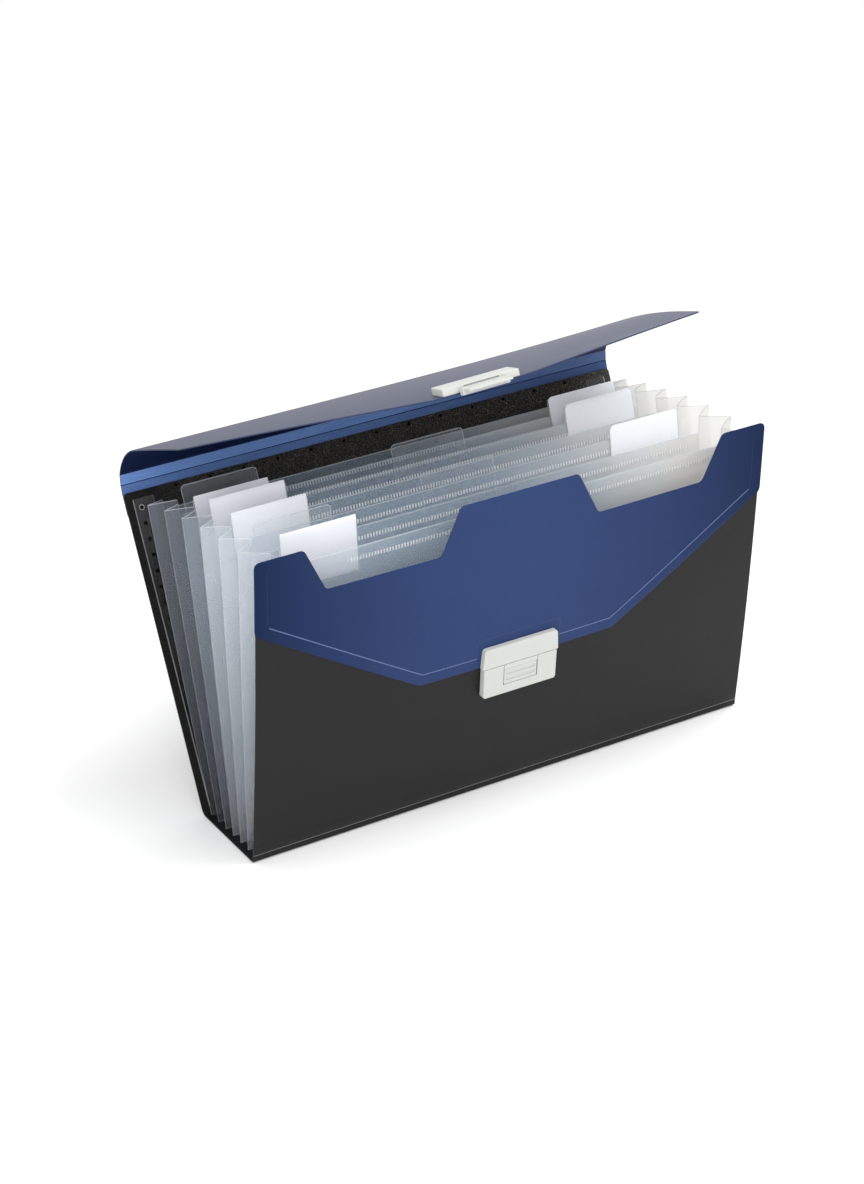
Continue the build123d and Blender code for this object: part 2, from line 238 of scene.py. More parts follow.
@dataclass(frozen=True)
class Face:
    """A flat face of the folder: u runs along X, v up the face and n out of it."""

    origin: Vector
    up: Vector
    out: Vector

    def at(self, u: float, v: float, n: float = 0.0) -> Vector:
        """Scene point, in metres, of a place on the face."""
        return (self.origin + Vector((u, 0.0, 0.0)) + self.up * v + self.out * n) * MM


def leaning(foot: float, rise: float, lean: float) -> Face:
    """A face that looks towards the front and leans back.

    Args:
        foot: Y of its foot line.
        rise: Z of its foot line.
        lean: Its lean in degrees.

    Returns:
        The face.
    """
    turn = math.radians(lean)
    up = Vector((0.0, math.sin(turn), math.cos(turn)))
    return Face(Vector((0.0, foot, rise)), up, Vector((0.0, -up.z, up.y)))


@dataclass(frozen=True)
class Folder:
    """Sizes that several pieces share, read from the frame where it holds them."""

    board: float = 1.0
    front_height: float = 216.5
    front_board_height: float = 185.5
    front_foot: float = 4.3
    front_bow: float = 6.8
    front_side_bow: float = 2.0
    back_height: float = 210.0
    back_foot: float = 4.8
    first_sheet_inset: float = 3.35
    sheet_bottom: float = 1.5
    sheet_height: float = 196.5
    film_start: float = 165.4

    @cached_property
    def half_width(self) -> float:
        """Half the length of the covers."""
        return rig.box("spine")[1].x / MM

    @cached_property
    def half_depth(self) -> float:
        """Half the depth of the spine, where the faces of both covers start."""
        return self.first_sheet_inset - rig.box("divider_1")[0].y / MM

    @cached_property
    def front(self) -> Face:
        """The front's flat face, before its bow."""
        return leaning(-self.half_depth, 0.0, -joint("front_cover_fold")["range_deg"][1])

    @cached_property
    def back(self) -> Face:
        """The back's inner face."""
        return leaning(self.half_depth, 0.0, joint("back_cover_fold")["range_deg"][1])

    def lean(self, number: float) -> float:
        """Lean of a sheet in degrees; a half number lies between two sheets."""
        return (number - 1.0) * joint("leaf_2_fold")["range_deg"][1]

    def sheet_place(self, number: float) -> float:
        """Y of a sheet's foot; a half number lies between two sheets."""
        second, third = (joint(f"leaf_{leaf}_fold")["pos_m"][1] / MM for leaf in (2, 3))
        return second + (number - 2.0) * (third - second)

    def sheet(self, number: float) -> Face:
        """Middle plane of a divider sheet, facing the front."""
        return leaning(self.sheet_place(number), self.sheet_bottom, self.lean(number))

    def bow(self, u: float, v: float) -> float:
        """How far the front bows out.

        Args:
            u: Millimetres along X.
            v: Millimetres up the front.

        Returns:
            The bow at that place.
        """
        across = self.front_bow - (self.front_bow - self.front_side_bow) * (u / self.half_width) ** 2
        middle = (self.front_foot + self.front_height) / 2
        half = (self.front_height - self.front_foot) / 2
        return across * (1.0 - ((v - middle) / half) ** 2)

    def bowed(self, u: float, v: float, n: float = 0.0) -> Vector:
        """Scene point on the bowed front, n outside the black board's skin."""
        return self.front.at(u, v, n + self.bow(u, v))


# Shader nodes


def operator(operation: str, swapped: bool = False) -> Callable[["Wire", Any], "Wire"]:
    """A method that puts a Math node on a wire and another value.

    Args:
        operation: The node's operation.
        swapped: Whether the other value comes first.

    Returns:
        The method.
    """

    def method(wire: "Wire", other: Any) -> "Wire":
        """Add the node."""
        first, second = (other, wire) if swapped else (wire, other)
        return wire.desk.node("ShaderNodeMath", {"operation": operation}, {0: first, 1: second})

    return method


class Wire:
    """A socket in an expression: operators on values add Math nodes."""

    def __init__(self, desk: "ShaderDesk", socket: bpy.types.NodeSocket) -> None:
        """Keep the socket and the desk that its nodes stand on."""
        self.desk = desk
        self.socket = socket

    __add__ = __radd__ = operator("ADD")
    __sub__ = operator("SUBTRACT")
    __rsub__ = operator("SUBTRACT", swapped=True)
    __mul__ = __rmul__ = operator("MULTIPLY")
    __gt__ = operator("GREATER_THAN")


class ShaderDesk:
    """A node tree, and the one method that adds nodes to it."""

    def __init__(self, tree: bpy.types.NodeTree) -> None:
        """Clear a tree to build in."""
        self.tree = tree
        self.tree.nodes.clear()

    def node(self, kind: str, settings: dict[str, Any], sockets: dict[Any, Any], out: Any = 0) -> Wire:
        """Add a node.

        Args:
            kind: The node's type.
            settings: Its properties, set first; stops are a ramp's places and greys.
            sockets: Values or wires of its inputs, by name or number.
            out: Name or number of the output that the wire is taken from.

        Returns:
            A wire from that output, or one without a socket for an output node.
        """
        made = self.tree.nodes.new(kind)
        for name, value in settings.items():
            if name == "stops":
                for element, (place, grey) in zip(made.color_ramp.elements, value):
                    element.position = place
                    element.color = (grey, grey, grey, 1.0)
            else:
                setattr(made, name, value)
        for name, value in sockets.items():
            if isinstance(value, Wire):
                self.tree.links.new(value.socket, made.inputs[name])
            else:
                made.inputs[name].default_value = value
        return Wire(self, made.outputs[out] if made.outputs else None)

    def place(self, stretch: Triple = UNSTRETCHED) -> Wire:
        """Object coordinates, stretched along the axes."""
        place = self.node("ShaderNodeTexCoord", {}, {}, "Object")
        return self.node("ShaderNodeMapping", {}, {"Vector": place, "Scale": stretch})

    def along(self, axis: str, length: float) -> Wire:
        """Place along one axis, in parts of a length in metres."""
        return self.node("ShaderNodeSeparateXYZ", {}, {0: self.place((1 / length,) * 3)}, axis)

    def across(self) -> Wire:
        """Place along the folder, from -1 at its left end to 1 at its right one."""
        return self.along("X", HALF_LENGTH)

    def noise(self, size: float, detail: float = 2.0, stretch: Triple = UNSTRETCHED) -> Wire:
        """Noise whose spots are about that many millimetres wide."""
        sockets = {"Vector": self.place(stretch), "Scale": 1.0 / (size * MM), "Detail": detail}
        return self.node("ShaderNodeTexNoise", {}, sockets)

    def ramp(self, value: Wire, low: float, high: float) -> Wire:
        """Zero below one value, one above another, and a straight rise between."""
        return self.node("ShaderNodeValToRGB", {"stops": ((low, 0.0), (high, 1.0))}, {"Fac": value})

    def mix(self, factor: Any, first: Any, second: Any) -> Wire:
        """Mix of two colours."""
        sides = [side if isinstance(side, Wire) else (*side, 1.0) for side in (first, second)]
        return self.node("ShaderNodeMix", {"data_type": "RGBA"}, {0: factor, 6: sides[0], 7: sides[1]}, 2)

    def mix_shader(self, factor: Any, first: Wire, second: Wire) -> Wire:
        """Mix of two shaders."""
        return self.node("ShaderNodeMixShader", {}, {0: factor, 1: first, 2: second})

    def bump(self, height: Wire, depth: float, strength: float) -> Wire:
        """Normal of a relief that is that many millimetres deep."""
        sockets = {"Height": height, "Distance": depth * MM, "Strength": strength}
        return self.node("ShaderNodeBump", {}, sockets)

    def show(self, shader: Wire) -> None:
        """Link a shader to the output."""
        self.node("ShaderNodeOutputMaterial", {}, {"Surface": shader})

    def surface(self, sockets: dict[str, Any]) -> None:
        """Principled shader to the output."""
        self.show(self.node("ShaderNodeBsdfPrincipled", {}, sockets))


@dataclass(frozen=True)
class Finish:
    """A finish: its name, the record's slot that it belongs to, and its colours."""

    name: str
    slot: str
    colour: Colour
    second: Colour
    roughness: float = 0.45
    gloss: float = 0.5

    def material(self) -> bpy.types.Material:
        """The finish as a material, made once.

        Returns:
            The material.
        """
        name = f"finish_{self.name}"
        found = bpy.data.materials.get(name)
        if found is None:
            found = bpy.data.materials.new(name)
            found.use_nodes = True
            self.wire(ShaderDesk(found.node_tree))
        return found

    def wire(self, desk: ShaderDesk) -> None:
        """Build the finish's nodes."""
        raise NotImplementedError


@dataclass(frozen=True)
class BoardFinish(Finish):
    """Extruded board with a fine embossed grain and a soft gloss."""

    grain: float = 0.55
    grain_depth: float = 0.05
    # Painted shade: how much the colour goes towards the end colour at both ends of the folder
    fade: float = 0.0
    dull: float = 0.0
    end: Colour = DARK
    grain_detail: float = 3.0
    cloud: float = 45.0
    cloud_share: float = 0.5
    fleck_share: float = 0.35
    fleck_stops: Point = (0.35, 0.75)
    rough_swing: float = 0.16
    relief: float = 0.6

    def wire(self, desk: ShaderDesk) -> None:
        """Grain in relief and gloss; the colour goes darker towards both ends as painted shade, and the left end may
        be duller.

        Args:
            desk: Where the nodes stand.
        """
        grain = desk.noise(self.grain, self.grain_detail)
        fleck = desk.ramp(grain, *self.fleck_stops)
        tone = desk.noise(self.cloud) * self.cloud_share + fleck * self.fleck_share
        colour = desk.mix(tone, self.colour, self.second)
        across = desk.across()
        dull = self.dull / 2
        rest = self.roughness + dull - self.rough_swing / 2
        desk.surface({
            # Painted shade: darker towards both ends
            "Base Color": desk.mix(across * across * self.fade, colour, self.end),
            "Roughness": grain * self.rough_swing - across * dull + rest,
            "Specular IOR Level": self.gloss,
            "Normal": desk.bump(grain, self.grain_depth, self.relief),
        })


@dataclass(frozen=True)
class SpeckledFinish(Finish):
    """Rough inner face of a board, with pale specks in a coarse relief."""

    speck: float = 0.7
    speck_stops: Point = (0.52, 0.70)
    speck_gloss: float = 0.2
    lump: float = 1.6
    lump_detail: float = 4.0
    lump_share: float = 0.6
    depth: float = 0.25
    relief: float = 0.9
    # The colour goes darker, without specks, towards the left end
    wear: float = 0.85
    wear_stops: Point = (0.74, 0.90)

    def wire(self, desk: ShaderDesk) -> None:
        """Specks over a coarse and a fine relief; the colour goes darker towards the left end.

        Args:
            desk: Where the nodes stand.
        """
        lumps = desk.noise(self.lump, self.lump_detail)
        fine = desk.noise(self.speck)
        specks = desk.ramp(fine, *self.speck_stops)
        darkened = desk.ramp(desk.across() * -1.0, *self.wear_stops)
        height = lumps * self.lump_share + fine * (1.0 - self.lump_share)
        desk.surface({
            "Base Color": desk.mix(darkened * self.wear, desk.mix(specks, self.colour, self.second), DARK),
            "Roughness": self.roughness - specks * self.speck_gloss,
            "Specular IOR Level": self.gloss,
            "Normal": desk.bump(height, self.depth, self.relief),
        })


@dataclass(frozen=True)
class BrushedFinish(Finish):
    """Creased sheet with fine streaks along the folder."""

    # Painted shade: the colour goes towards the end colour at the right end
    fade: float = 0.72
    fade_stops: Point = (0.05, 0.95)
    end: Colour = (0.012, 0.030, 0.110)
    streak: float = 0.5
    streak_detail: float = 4.0
    streak_stretch: Triple = (0.03, 1.0, 1.0)
    grain: float = 0.45
    tone_stops: Point = (0.30, 0.72)
    rough_swing: float = 0.25
    rough_drop: float = 0.1
    depth: float = 0.06
    relief: float = 0.7

    def wire(self, desk: ShaderDesk) -> None:
        """Streaks in colour, gloss and relief; the colour goes darker towards the right end as painted shade.

        Args:
            desk: Where the nodes stand.
        """
        streaks = desk.noise(self.streak, self.streak_detail, self.streak_stretch)
        tone = desk.ramp(streaks * 0.5 + desk.noise(self.grain) * 0.5, *self.tone_stops)
        # Painted shade, darker towards the right end
        right_end_shade = desk.ramp(desk.across(), *self.fade_stops) * self.fade
        desk.surface({
            "Base Color": desk.mix(right_end_shade, desk.mix(tone, self.colour, self.second), self.end),
            "Roughness": streaks * self.rough_swing + (self.roughness - self.rough_drop),
            "Specular IOR Level": self.gloss,
            "Normal": desk.bump(streaks, self.depth, self.relief),
        })


@dataclass(frozen=True)
class MouldedFinish(Finish):
    """Moulded plastic with a faint orange peel."""

    peel: float = 0.9
    cloud: float = 9.0
    rough_swing: float = 0.12
    depth: float = 0.02
    relief: float = 0.5

    def wire(self, desk: ShaderDesk) -> None:
        """A very fine skin and a slight drift of colour.

        Args:
            desk: Where the nodes stand.
        """
        peel = desk.noise(self.peel)
        desk.surface({
            "Base Color": desk.mix(desk.noise(self.cloud), self.colour, self.second),
            "Roughness": peel * self.rough_swing + (self.roughness - self.rough_swing / 2),
            "Specular IOR Level": self.gloss,
            "Normal": desk.bump(peel, self.depth, self.relief),
        })


@dataclass(frozen=True)
class FilmFinish(Finish):
    """Frosted see-through plastic, hazier in some places than in others, that light also shines through."""

    haze: float = 0.3
    haze_drift: float = 0.08
    shine_through: float = 0.45
    through: Colour | None = None
    # Towards the right end: more haze, and the colour turns to the end colour, a pale cream, as painted light
    end_haze: float = 0.0
    end_stops: Point = (0.10, 0.75)
    end: Colour = (0.980, 0.955, 0.915)
    # Towards the foot: less haze, and the colour goes nearly black as painted shade
    foot_loss: float = 0.0
    foot_stops: Point = (0.05, 0.85)
    foot: Colour = (0.02, 0.022, 0.03)
    frost: float = 0.8
    cloud: float = 38.0
    rough_swing: float = 0.14

    def wire(self, desk: ShaderDesk) -> None:
        """Haze that drifts, may grow towards the right end, where the colour turns a pale cream as painted light, and
        thin out to the foot, where the colour goes dark as painted shade, with a frosted skin.

        Args:
            desk: Where the nodes stand.
        """
        cloud = desk.noise(self.cloud)
        colour = desk.mix(cloud, self.colour, self.second)
        haze = cloud * (2 * self.haze_drift) + (self.haze - self.haze_drift)
        if self.end_haze:
            # Painted light: paler towards the right end
            painted_light_end = desk.ramp(desk.across(), *self.end_stops)
            colour = desk.mix(painted_light_end, colour, self.end)
            haze = haze + painted_light_end * self.end_haze
        if self.foot_loss:
            # Painted shade: darker towards the foot
            foot_shade = (1.0 - desk.ramp(desk.along("Z", FULL_HEIGHT), *self.foot_stops)) * self.foot_loss
            colour = desk.mix(foot_shade, colour, self.foot)
            haze = haze * (1.0 - foot_shade)
        skin = desk.node("ShaderNodeBsdfPrincipled", {}, {
            "Base Color": colour,
            "Roughness": desk.noise(self.frost) * self.rough_swing + (self.roughness - self.rough_swing / 2),
            "Specular IOR Level": self.gloss,
        })
        behind = desk.node("ShaderNodeBsdfTranslucent", {}, {"Color": (*(self.through or self.second), 1.0)})
        milk = desk.mix_shader(self.shine_through, skin, behind)
        desk.show(desk.mix_shader(haze, desk.node("ShaderNodeBsdfTransparent", {}, {}), milk))


@dataclass(frozen=True)
class PaperFinish(Finish):
    """Uncoated card with a faint fibre."""

    fibre: float = 0.7
    fibre_detail: float = 4.0
    fibre_stretch: Triple = (0.4, 1.0, 1.0)
    depth: float = 0.02
    relief: float = 0.5

    def wire(self, desk: ShaderDesk) -> None:
        """Fibres in tone and relief.

        Args:
            desk: Where the nodes stand.
        """
        fibre = desk.noise(self.fibre, self.fibre_detail, self.fibre_stretch)
        desk.surface({
            "Base Color": desk.mix(fibre, self.colour, self.second),
            "Roughness": self.roughness,
            "Normal": desk.bump(fibre, self.depth, self.relief),
        })


BLACK = BoardFinish("black_board", "black_board", (0.0045, 0.0045, 0.005), (0.009, 0.009, 0.010), 0.46, 0.24)
# Grey line along the front's crease, lighter than the board: painted highlight
CREASE_HIGHLIGHT_BLACK = BoardFinish(
    "black_crease", "black_board", (0.110, 0.110, 0.112), (0.160, 0.160, 0.163), 0.35, 0.5
)
ROUGH_BLACK = SpeckledFinish(
    "rough_black", "black_board", (0.009, 0.0085, 0.008), (0.145, 0.130, 0.112), 0.75, 0.3
)
# Blue board, darker towards both ends as painted shade
BLUE = BoardFinish(
    "blue_board", "blue_board", (0.022, 0.041, 0.120), (0.032, 0.058, 0.160), 0.48, 0.08,
    fade=0.9, end=(0.003, 0.012, 0.050),
)
FLAP_BLUE = BoardFinish(
    "blue_flap", "blue_board", (0.013, 0.022, 0.070), (0.017, 0.030, 0.092), 0.37, 0.46, 0.5, 0.02, dull=0.10
)
# Darker copy of the flap's finish for its underside: painted shade
FLAP_UNDERSIDE_SHADE = BoardFinish(
    "blue_flap_inside", "blue_board", (0.004, 0.010, 0.040), (0.006, 0.014, 0.054), 0.50, 0.15, 0.5, 0.02
)
BRIGHT_BLUE = BrushedFinish(
    "blue_strip", "blue_board", (0.090, 0.190, 0.500), (0.220, 0.380, 0.740), 0.46, 0.3
)
# Darker copy of the strip's finish for its lower band: painted shade
LOWER_STRIP_SHADE = BrushedFinish(
    "blue_strip_foot", "blue_board", (0.055, 0.120, 0.335), (0.138, 0.240, 0.500), 0.50, 0.2
)
# Darker blue for the strip's pressed crease and its cut edges: painted shade
CREASE_BLUE_SHADE = BoardFinish("blue_crease", "blue_board", (0.010, 0.022, 0.075), (0.014, 0.028, 0.095), 0.6, 0.1)
# Lighter, glossier blue on the weld's slants: painted highlight
WELD_BLUE_HIGHLIGHT = BoardFinish("blue_weld", "blue_board", (0.060, 0.100, 0.240), (0.080, 0.125, 0.290), 0.28, 0.6)
# Blue of the weld runs, darker towards both ends as painted shade
FAINT_BLUE = BoardFinish(
    "blue_weld_faint", "blue_board", (0.025, 0.046, 0.130), (0.036, 0.064, 0.172), 0.44, 0.15,
    fade=0.9, end=(0.003, 0.012, 0.051),
)
IVORY = MouldedFinish("ivory_plastic", "ivory_plastic", (0.545, 0.556, 0.531), (0.515, 0.527, 0.498), 0.38)
DARK_WELD = MouldedFinish("weld_mark", "weld_mark", (0.001, 0.001, 0.001), (0.002, 0.002, 0.002), 0.80, 0.04)
# Divider film, paler towards the right end as painted light
SHEET = FilmFinish(
    "clear_sheet", "clear_sheet", (0.590, 0.735, 0.885), (0.670, 0.800, 0.940), 0.36, 0.3, 0.22, 0.02,
    end_haze=0.44, through=(0.850, 0.860, 0.870),
)
# Paler, hazier film for cut edges and bands along the top: painted highlight
SHEET_RIM_HIGHLIGHT = FilmFinish(
    "clear_sheet_rim", "clear_sheet", (0.860, 0.910, 0.940), (0.900, 0.940, 0.960), 0.40, 0.3, 0.45, 0.05
)
TICK = FilmFinish(
    "weld_tick", "clear_sheet", (0.960, 0.965, 0.965), (0.970, 0.975, 0.975), 0.45, 0.3, 0.97, 0.02, 0.2
)
TAB = FilmFinish(
    "clear_tab", "clear_tab", (0.720, 0.780, 0.830), (0.790, 0.840, 0.880), 0.24, 0.4, 0.10, 0.02
)
TAB_FRONT = FilmFinish(
    "clear_tab_front", "clear_tab", (0.800, 0.850, 0.880), (0.860, 0.900, 0.930), 0.20, 0.4, 0.03, 0.01
)
CARD = PaperFinish("white_card", "white_card", (0.930, 0.942, 0.995), (0.950, 0.960, 1.000), 0.62)
# Side film of the front pleats on the left, darker towards the foot as painted shade
FILM = FilmFinish(
    "side_film", "side_film", (0.735, 0.785, 0.840), (0.785, 0.825, 0.870), 0.34, 0.3, 0.29, 0.02,
    foot_loss=0.62,
)
# Paler, hazier copy of the side film for the right pleats: painted light shining through
FILM_PAINTED_LIGHT = FilmFinish(
    "side_film_milky", "side_film", (0.935, 0.930, 0.913), (0.950, 0.945, 0.933), 0.40, 0.3, 0.50, 0.03
)
# Darker copy of the side film for the fifth pleat on the left: painted shade, darker still towards the foot
FILM_PAINTED_SHADE = FilmFinish(
    "side_film_grey", "side_film", (0.400, 0.445, 0.505), (0.450, 0.490, 0.545), 0.30, 0.3, 0.30, 0.015,
    foot_loss=0.70,
)
# Darkest copy of the side film for the rearmost pleats on the left: painted shade, darker still towards the foot
FILM_PAINTED_DARK_SHADE = FilmFinish(
    "side_film_dark", "side_film", (0.255, 0.280, 0.335), (0.295, 0.320, 0.370), 0.28, 0.3, 0.29, 0.01,
    foot_loss=0.7,
)
# Paler film for fold lines, top edges, a margin's outer edge and the eyelets: painted highlight
FILM_RIM_HIGHLIGHT = FilmFinish(
    "side_film_rim", "side_film", (0.920, 0.940, 0.950), (0.950, 0.960, 0.965), 0.40, 0.3, 0.42, 0.04
)
# Darker film for fold lines and top edges of the right pleats: painted shade
FILM_EDGE_SHADE = FilmFinish(
    "side_film_edge", "side_film", (0.640, 0.630, 0.610), (0.690, 0.680, 0.660), 0.40, 0.3, 0.50, 0.04
)
# Darker copy of the side film for the margins at the back: painted shade, darker still towards the foot
MARGIN_FILM_SHADE = FilmFinish(
    "film_margin", "side_film", (0.300, 0.300, 0.312), (0.340, 0.340, 0.352), 0.30, 0.3, 0.22, 0.01,
    foot_loss=0.9,
)


# Modelling steps


def pick(piece: bpy.types.Object) -> None:
    """Deselect everything, then select one object and make it the active one.

    Args:
        piece: The object.
    """
    bpy.ops.object.select_all(action="DESELECT")
    piece.select_set(True)
    bpy.context.view_layer.objects.active = piece


def fresh(name: str, add: Callable[..., Any], **settings: Any) -> bpy.types.Object:
    """Add a primitive mesh and apply its place and size.

    Args:
        name: The piece's name.
        add: The operator that adds it.
        **settings: The operator's settings.

    Returns:
        The piece.
    """
    bpy.ops.object.select_all(action="DESELECT")
    add(**settings)
    bpy.ops.object.transform_apply(location=True, rotation=True, scale=True)
    made = bpy.context.object
    made.name = name
    return made


def grid(name: str, columns: int, rows: int, place: Callable[[int, int], Triple]) -> bpy.types.Object:
    """A grid whose points are placed one by one.

    Args:
        name: The piece's name.
        columns: Faces along it.
        rows: Faces across it.
        place: Where the point of a column and a row goes.

    Returns:
        The grid.
    """
    made = fresh(name, bpy.ops.mesh.primitive_grid_add, x_subdivisions=columns, y_subdivisions=rows, size=2.0)
    for vertex in made.data.vertices:
        vertex.co = place(round((vertex.co.x + 1) / 2 * columns), round((vertex.co.y + 1) / 2 * rows))
    return made


def apply_modifier(piece: bpy.types.Object, kind: str, **settings: Any) -> None:
    """Give a piece a modifier and apply it.

    Args:
        piece: The piece that is changed.
        kind: The modifier's type.
        **settings: The modifier's properties.
    """
    pick(piece)
    modifier = piece.modifiers.new(kind, kind)
    for name, value in settings.items():
        setattr(modifier, name, value)
    bpy.ops.object.modifier_apply(modifier=modifier.name)


def join(pieces: Sequence[bpy.types.Object]) -> bpy.types.Object:
    """Join meshes to one piece.

    Args:
        pieces: The meshes; the first keeps its name and slots.

    Returns:
        The joined piece.
    """
    pick(pieces[0])
    for piece in pieces[1:]:
        piece.select_set(True)
    bpy.ops.object.join()
    return pieces[0]


def bevel(
    piece: bpy.types.Object, chosen: Callable[[Vector, Vector], bool], width: float, steps: int
) -> None:
    """Round the edges whose two ends pass a test.

    Args:
        piece: The piece that is changed.
        chosen: The test, given an edge's two ends.
        width: Width of the rounding, in the piece's own units.
        steps: Faces across the rounding.
    """
    pick(piece)
    bpy.ops.object.mode_set(mode="EDIT")
    bpy.ops.mesh.select_mode(type="EDGE")
    bpy.ops.mesh.select_all(action="DESELECT")
    mesh = bmesh.from_edit_mesh(piece.data)
    for edge in mesh.edges:
        edge.select_set(chosen(edge.verts[0].co, edge.verts[1].co))
    bmesh.update_edit_mesh(piece.data)
    bpy.ops.mesh.bevel(offset=width, segments=steps, affect="EDGES")
    bpy.ops.object.mode_set(mode="OBJECT")


def form(piece: bpy.types.Object, shape: Form) -> None:
    """Move every point of a flat piece to its place on the folder.

    Args:
        piece: The piece that is changed.
        shape: Where a place on the flat piece lies on the folder.
    """
    for vertex in piece.data.vertices:
        vertex.co = shape(*vertex.co)
    piece.data.update()


def dress(node: str, finish: Finish) -> None:
    """Give a node of the frame a finish in place of its own."""
    frame["nodes"][node].data.materials.clear()
    frame["nodes"][node].data.materials.append(finish.material())


def hand_over(
    piece: bpy.types.Object, finish: Finish, body: str | None, nodes: Sequence[str] = (),
    smoothing: Smoothing = Smoothing.SHEET,
) -> None:
    """Shade a piece, say what it stands for and log it.

    Args:
        piece: The finished piece.
        finish: The finish whose slot it takes; it is assigned if the piece has none yet.
        body: The body that it rides on, or None where it is blended later.
        nodes: The CAD nodes that it replaces.
        smoothing: Which of its edges are shaded smooth.
    """
    pick(piece)
    bpy.ops.object.shade_smooth_by_angle(angle=math.radians(smoothing.value))
    if not piece.data.materials:
        piece.data.materials.append(finish.material())
    if body:
        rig.ride(piece, body)
    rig.replaces(piece, *nodes)
    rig.slot(piece, finish.slot)
    log.info("%s: %d faces on %s", piece.name, len(piece.data.polygons), body or "two bodies")


# Flat cuts


@dataclass(frozen=True)
class Corner:
    """A corner of an outline and the radius that rounds it."""

    u: float
    v: float
    radius: float = 0.0

    def mirrored(self) -> "Corner":
        """The same corner on the other side of the middle."""
        return Corner(-self.u, self.v, self.radius)


def both_halves(right: Sequence[Corner]) -> list[Corner]:
    """Corners from left to right, given those of the right half from the middle outwards."""
    return [corner.mirrored() for corner in reversed(right)] + list(right)


def rounded(corners: Sequence[Corner], steps: int = 6) -> list[Point]:
    """Points of a line of straight runs with rounded corners.

    Args:
        corners: The corners in order.
        steps: Runs in each rounding.

    Returns:
        The points, from the first corner to the last.
    """
    points: list[Point] = []
    places = [Vector((corner.u, corner.v)) for corner in corners]
    for index, (corner, here) in enumerate(zip(corners, places)):
        if corner.radius == 0.0 or index in (0, len(corners) - 1):
            points.append((corner.u, corner.v))
            continue
        before = (places[index - 1] - here).normalized()
        after = (places[index + 1] - here).normalized()
        half = before.angle(after) / 2
        centre = here + (before + after).normalized() * (corner.radius / math.sin(half))
        start = here + before * (corner.radius / math.tan(half)) - centre
        end = here + after * (corner.radius / math.tan(half)) - centre
        turn = start.angle_signed(end)
        for step in range(steps + 1):
            angle = -turn * step / steps
            spoke = Vector((
                start.x * math.cos(angle) - start.y * math.sin(angle),
                start.x * math.sin(angle) + start.y * math.cos(angle),
            ))
            points.append(tuple(centre + spoke))
    return points


def spaced(points: Sequence[Point], step: float) -> list[Point]:
    """A line with more points on it.

    Args:
        points: The line's points.
        step: How far apart two points may be.

    Returns:
        The same line, with points no further apart than the step.
    """
    line = [points[0]]
    for (u0, v0), (u1, v1) in zip(points, points[1:]):
        count = max(1, math.ceil(math.hypot(u1 - u0, v1 - v0) / step))
        line += [(u0 + (u1 - u0) * k / count, v0 + (v1 - v0) * k / count) for k in range(1, count + 1)]
    return line


class Edge:
    """A long edge of a sheet, as a height over the place along it."""

    def __init__(self, corners: Sequence[Corner], guided: bool = False) -> None:
        """Round the corners.

        Args:
            corners: The corners, from left to right.
            guided: Whether the first and the last only guide the rounding, and are dropped.
        """
        self.points = rounded(corners)
        if guided:
            self.points = self.points[1:-1]

    def at(self, u: float) -> float:
        """Height of the edge.

        Args:
            u: Place along it.

        Returns:
            The height there.
        """
        for (u0, v0), (u1, v1) in zip(self.points, self.points[1:]):
            if u <= u1 and u1 > u0:
                return v0 + (v1 - v0) * max(0.0, (u - u0) / (u1 - u0))
        return self.points[-1][1]


def level(left: float, right: float, height: float) -> Edge:
    """A straight level edge."""
    return Edge([Corner(left, height), Corner(right, height)])


def top_with_rounds(left: float, right: float, height: float, radius: float) -> Edge:
    """A level top edge whose two ends are rounded down to the sides."""
    ends = [Corner(left, height, radius), Corner(right, height, radius)]
    return Edge([Corner(left, 0.0), *ends, Corner(right, 0.0)], guided=True)


